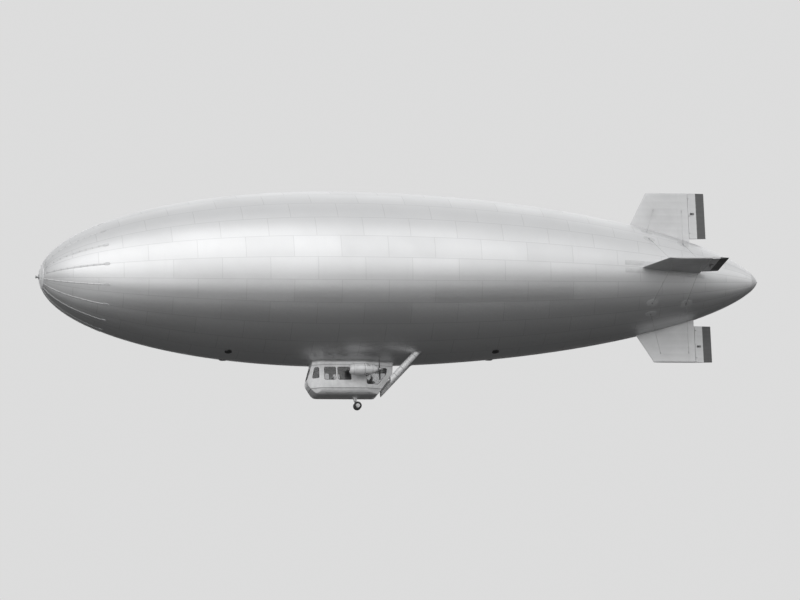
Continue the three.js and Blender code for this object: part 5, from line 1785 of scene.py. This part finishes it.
class AirshipScoops(bpy.types.Operator):
    """Makes the slanted ducts from behind the propellers into the hull"""

    bl_idname = "airship.scoops"
    bl_label = "Air scoops"

    def execute(self, context):
        for name, side in SIDES:
            duct = Duct(side)
            rings = [duct.ring(DUCT), duct.ring(DUCT, off=0.04)]
            rings += [duct.ring(DUCT, place) for place in (0.3, 0.9, 1.5, duct.length)]
            rings += [duct.ring(DUCT_BORE, place) for place in (duct.length, 0.9, None)]
            parts = [skinned(rings, loop=True)]
            hoops = [tube(duct.ring(0.1145, off=0.008), 0.0085, 12, loop=True)]
            for place in HOOPS:
                hoops.append(tube(duct.ring(DUCT + 0.0005, place), 0.0046, 10, loop=True))
            seam = [duct.low + duct.way * step * 0.1 - duct.over * (DUCT + 0.0005) for step in SEAM_STEPS]
            parts.append(tube(seam, 0.0022, 6))
            along = duct.way.to_track_quat("Z", "Y").to_matrix().to_4x4()
            damper = placed(turned(DAMPER, 40, axis=(0, 0, 1)), along @ Matrix.Rotation(DAMPER_TURN, 4, "X"))
            hoops.append(placed(damper, Matrix.Translation(duct.low + duct.way * DAMPER_PLACE)))
            piece("scoop_" + name, joined(parts), "ship", "car paint", ["air_scoop_" + name])
            piece("scoop_hoops_" + name, joined(hoops), "ship", "grey paint")
            self.boot(name, duct)
        return {"FINISHED"}

    def boot(self, name, duct):
        """Where the duct goes through the hull, a cloth boot."""
        inner, outer = [duct.ring(DUCT, place) for place in BOOT_SEARCH]
        ends = [sum(ring, Vector()) / len(ring) for ring in (inner, outer)]
        loops = [[], [], [], []]
        for start, end in zip(inner, outer):
            share, step = 0.5, 0.25
            for halving in range(18):
                point = start.lerp(end, share)
                share += step if math.hypot(point.y, point.z) > hull_radius(NOSE_X - point.x) else -step
                step /= 2
            point = start.lerp(end, share)
            way = (end - start).normalized()
            aside = (point - ends[0].lerp(ends[1], share)).normalized()
            for loop, (stand, along) in zip(loops, BOOT):
                loop.append(point + aside * stand + way * along)
            edge = point + aside * BOOT_EDGE[0]
            loops[3].append(skin_point(NOSE_X - edge.x, math.atan2(edge.y, -edge.z), BOOT_EDGE[1]))
        piece("scoop_boot_" + name, skinned(loops, loop=True), "ship", "patch cloth", angle=60)


# Half of a tyre's section: place out from its middle, radius
TYRE = ((0.0335, 0.0823), (0.0375, 0.092), (0.0415, 0.106), (0.042, 0.118), (0.04, 0.132), (0.0355, 0.144),
        (0.029, 0.1535), (0.0245, 0.1572), (0.0235, 0.1572), (0.0225, 0.1535), (0.0195, 0.1535),
        (0.0185, 0.1585), (0.0085, 0.1598), (0.0075, 0.155), (0.0045, 0.155), (0.0035, 0.16))
TYRE_Y = 0.086
AXLE = Vector((NOSE_X - 12.64, 0, -5.21))
# Hub: place out from the middle, radius
HUB = ((0.031, 0), (0.031, 0.018), (0.031, 0.033), (0.046, 0.033), (0.046, 0.08), (0.052, 0.0822),
       (0.056, 0.0815), (0.06, 0.074), (0.072, 0.071), (0.104, 0.07), (0.111, 0.0745), (0.116, 0.0818),
       (0.12, 0.0815), (0.12, 0.077), (0.113, 0.071), (0.107, 0.064), (0.104, 0.042), (0.112, 0.036),
       (0.13, 0.032), (0.1365, 0.027), (0.138, 0.02), (0.138, 0))
HUB_BOLT = ((-0.004, 0.006), (0.005, 0.006), (0.0065, 0.005), (0.0065, 0))
# The fork's swivel, heights of the leg's plate, its pin and the fork's collar, the plate's bolts, the collar
SWIVEL_X = NOSE_X - 12.56
PLATE_Z = -4.8685
LEG_PIN_Z = -4.95
COLLAR_Z = -5.047
LEG_BOLTS = [(x, y) for x in (0.112, 0.04, -0.032, -0.104) for y in (0.056, -0.056)]
LEG_BOLT = ((-0.002, 0.0085), (0.005, 0.0085), (0.0065, 0.007), (0.0065, 0))
FORK_COLLAR = ((-0.004, 0.027), (-0.004, 0.043), (0.002, 0.046), (0.008, 0.043), (0.008, 0.027))


class AirshipGearSet(bpy.types.Operator):
    """Makes the landing gear: leg, swivelling fork, hubs and tyres"""

    bl_idname = "airship.gear"
    bl_label = "Landing gear"

    def execute(self, context):
        sizes = context.scene.airship_gear
        softened("landing_gear_leg", "ship", "car paint", 0.004)
        softened("axle_fork", "caster_fork", "bare steel", 0.003)
        bolts = [turned(LEG_BOLT, 6, at=(SWIVEL_X + x, y, PLATE_Z), axis=(0, 0, -1)) for x, y in LEG_BOLTS]
        bolts.append(tube([(SWIVEL_X - 0.03, y, LEG_PIN_Z) for y in (0.043, -0.043)], 0.008, 12))
        piece("leg_bolts", joined(bolts), "ship", "bare steel")
        collar = turned(FORK_COLLAR, 36, ring=True, at=(SWIVEL_X, 0, COLLAR_Z), axis=(0, 0, 1))
        piece("fork_collar", collar, "caster_fork", "grey paint")
        self.hubs(sizes)
        line = [*TYRE, *((-out, radius) for out, radius in TYRE[::-1])]
        for name, side in SIDES:
            centre = AXLE + Vector((0, side * TYRE_Y, 0))
            parts = [turned(line, sizes.wheel_sides, ring=True, at=centre, axis=(0, 1, 0))]
            out = spoke(math.pi / sizes.hub_bolts)
            stem = centre + out * 0.05 + Vector((0, side * 0.015, 0))
            parts.append(tube([stem, stem + out * 0.005 + Vector((0, side * 0.02, 0))], [0.0045, 0.0032], 10))
            piece("tyre_rubber_" + name, joined(parts), "wheel", "tyre rubber", ["tyre_" + name], angle=40)
        return {"FINISHED"}

    def hubs(self, sizes):
        parts = []
        for side in (1, -1):
            line = [(side * out, radius) for out, radius in HUB]
            parts.append(turned(line, sizes.wheel_sides, at=AXLE, axis=(0, 1, 0)))
            for angle in angles(sizes.hub_bolts):
                at = AXLE + spoke(angle) * 0.053 + Vector((0, side * 0.1045, 0))
                parts.append(turned(HUB_BOLT, 6, at=at, axis=(0, side, 0)))
        parts.append(tube([AXLE + Vector((0, -0.05, 0)), AXLE + Vector((0, 0.05, 0))], 0.016, 32))
        piece("wheel_metal", joined(parts), "wheel", "car paint", ["wheel_hubs"])


LAMP_BASE = ((-0.01, 0), (-0.01, 0.045), (0.004, 0.045), (0.01, 0.04), (0.012, 0))
LAMP_COVER = ((0.008, 0.0), (0.008, 0.024), (0.018, 0.024), (0.027, 0.019), (0.032, 0.01), (0.0335, 0))


class AirshipTailLamp(bpy.types.Operator):
    """Makes the lamp at the tail's end"""

    bl_idname = "airship.tail_lamp"
    bl_label = "Tail lamp"

    def execute(self, context):
        at = (NOSE_X - HULL_LENGTH + 0.01, 0, 0)
        piece("lamp_base", turned(LAMP_BASE, 32, at=at, axis=(-1, 0, 0)), "ship", "bare steel")
        piece("lamp_cover", turned(LAMP_COVER, 32, at=at, axis=(-1, 0, 0)), "ship", "lamp glass")
        return {"FINISHED"}


SETTINGS = {
    "airship_hull": AirshipHull,
    "airship_tail": AirshipTail,
    "airship_car": AirshipCar,
    "airship_power": AirshipPower,
    "airship_gear": AirshipGear,
    "airship_stage": AirshipStage,
}
STEPS = [
    AirshipFinishes,
    AirshipStageSet,
    AirshipHullSkin,
    AirshipNose,
    AirshipValves,
    AirshipFins,
    AirshipSurfaces,
    AirshipCarShell,
    AirshipGlazing,
    AirshipSeats,
    AirshipCockpit,
    AirshipRails,
    AirshipNacelles,
    AirshipPropellers,
    AirshipScoops,
    AirshipGearSet,
    AirshipTailLamp,
]


class AirshipPanel(bpy.types.Panel):
    """Lists the airship's sizes and steps"""

    bl_idname = "VIEW3D_PT_airship"
    bl_label = "Airship"
    bl_space_type = "VIEW_3D"
    bl_region_type = "UI"
    bl_category = "Airship"

    def draw(self, context):
        for name, kind in SETTINGS.items():
            box = self.layout.box()
            for label in kind.__annotations__:
                box.prop(getattr(context.scene, name), label)
        for step in STEPS:
            self.layout.operator(step.bl_idname)


def register():
    for kind in (*SETTINGS.values(), *STEPS, AirshipPanel):
        bpy.utils.register_class(kind)
    for name, kind in SETTINGS.items():
        setattr(bpy.types.Scene, name, PointerProperty(type=kind))


def unregister():
    for name in SETTINGS:
        delattr(bpy.types.Scene, name)
    for kind in (AirshipPanel, *reversed(STEPS), *reversed(SETTINGS.values())):
        bpy.utils.unregister_class(kind)


def main():
    register()
    for step in STEPS:
        group, name = step.bl_idname.split(".")
        getattr(getattr(bpy.ops, group), name)()


if __name__ == "__main__":
    main()
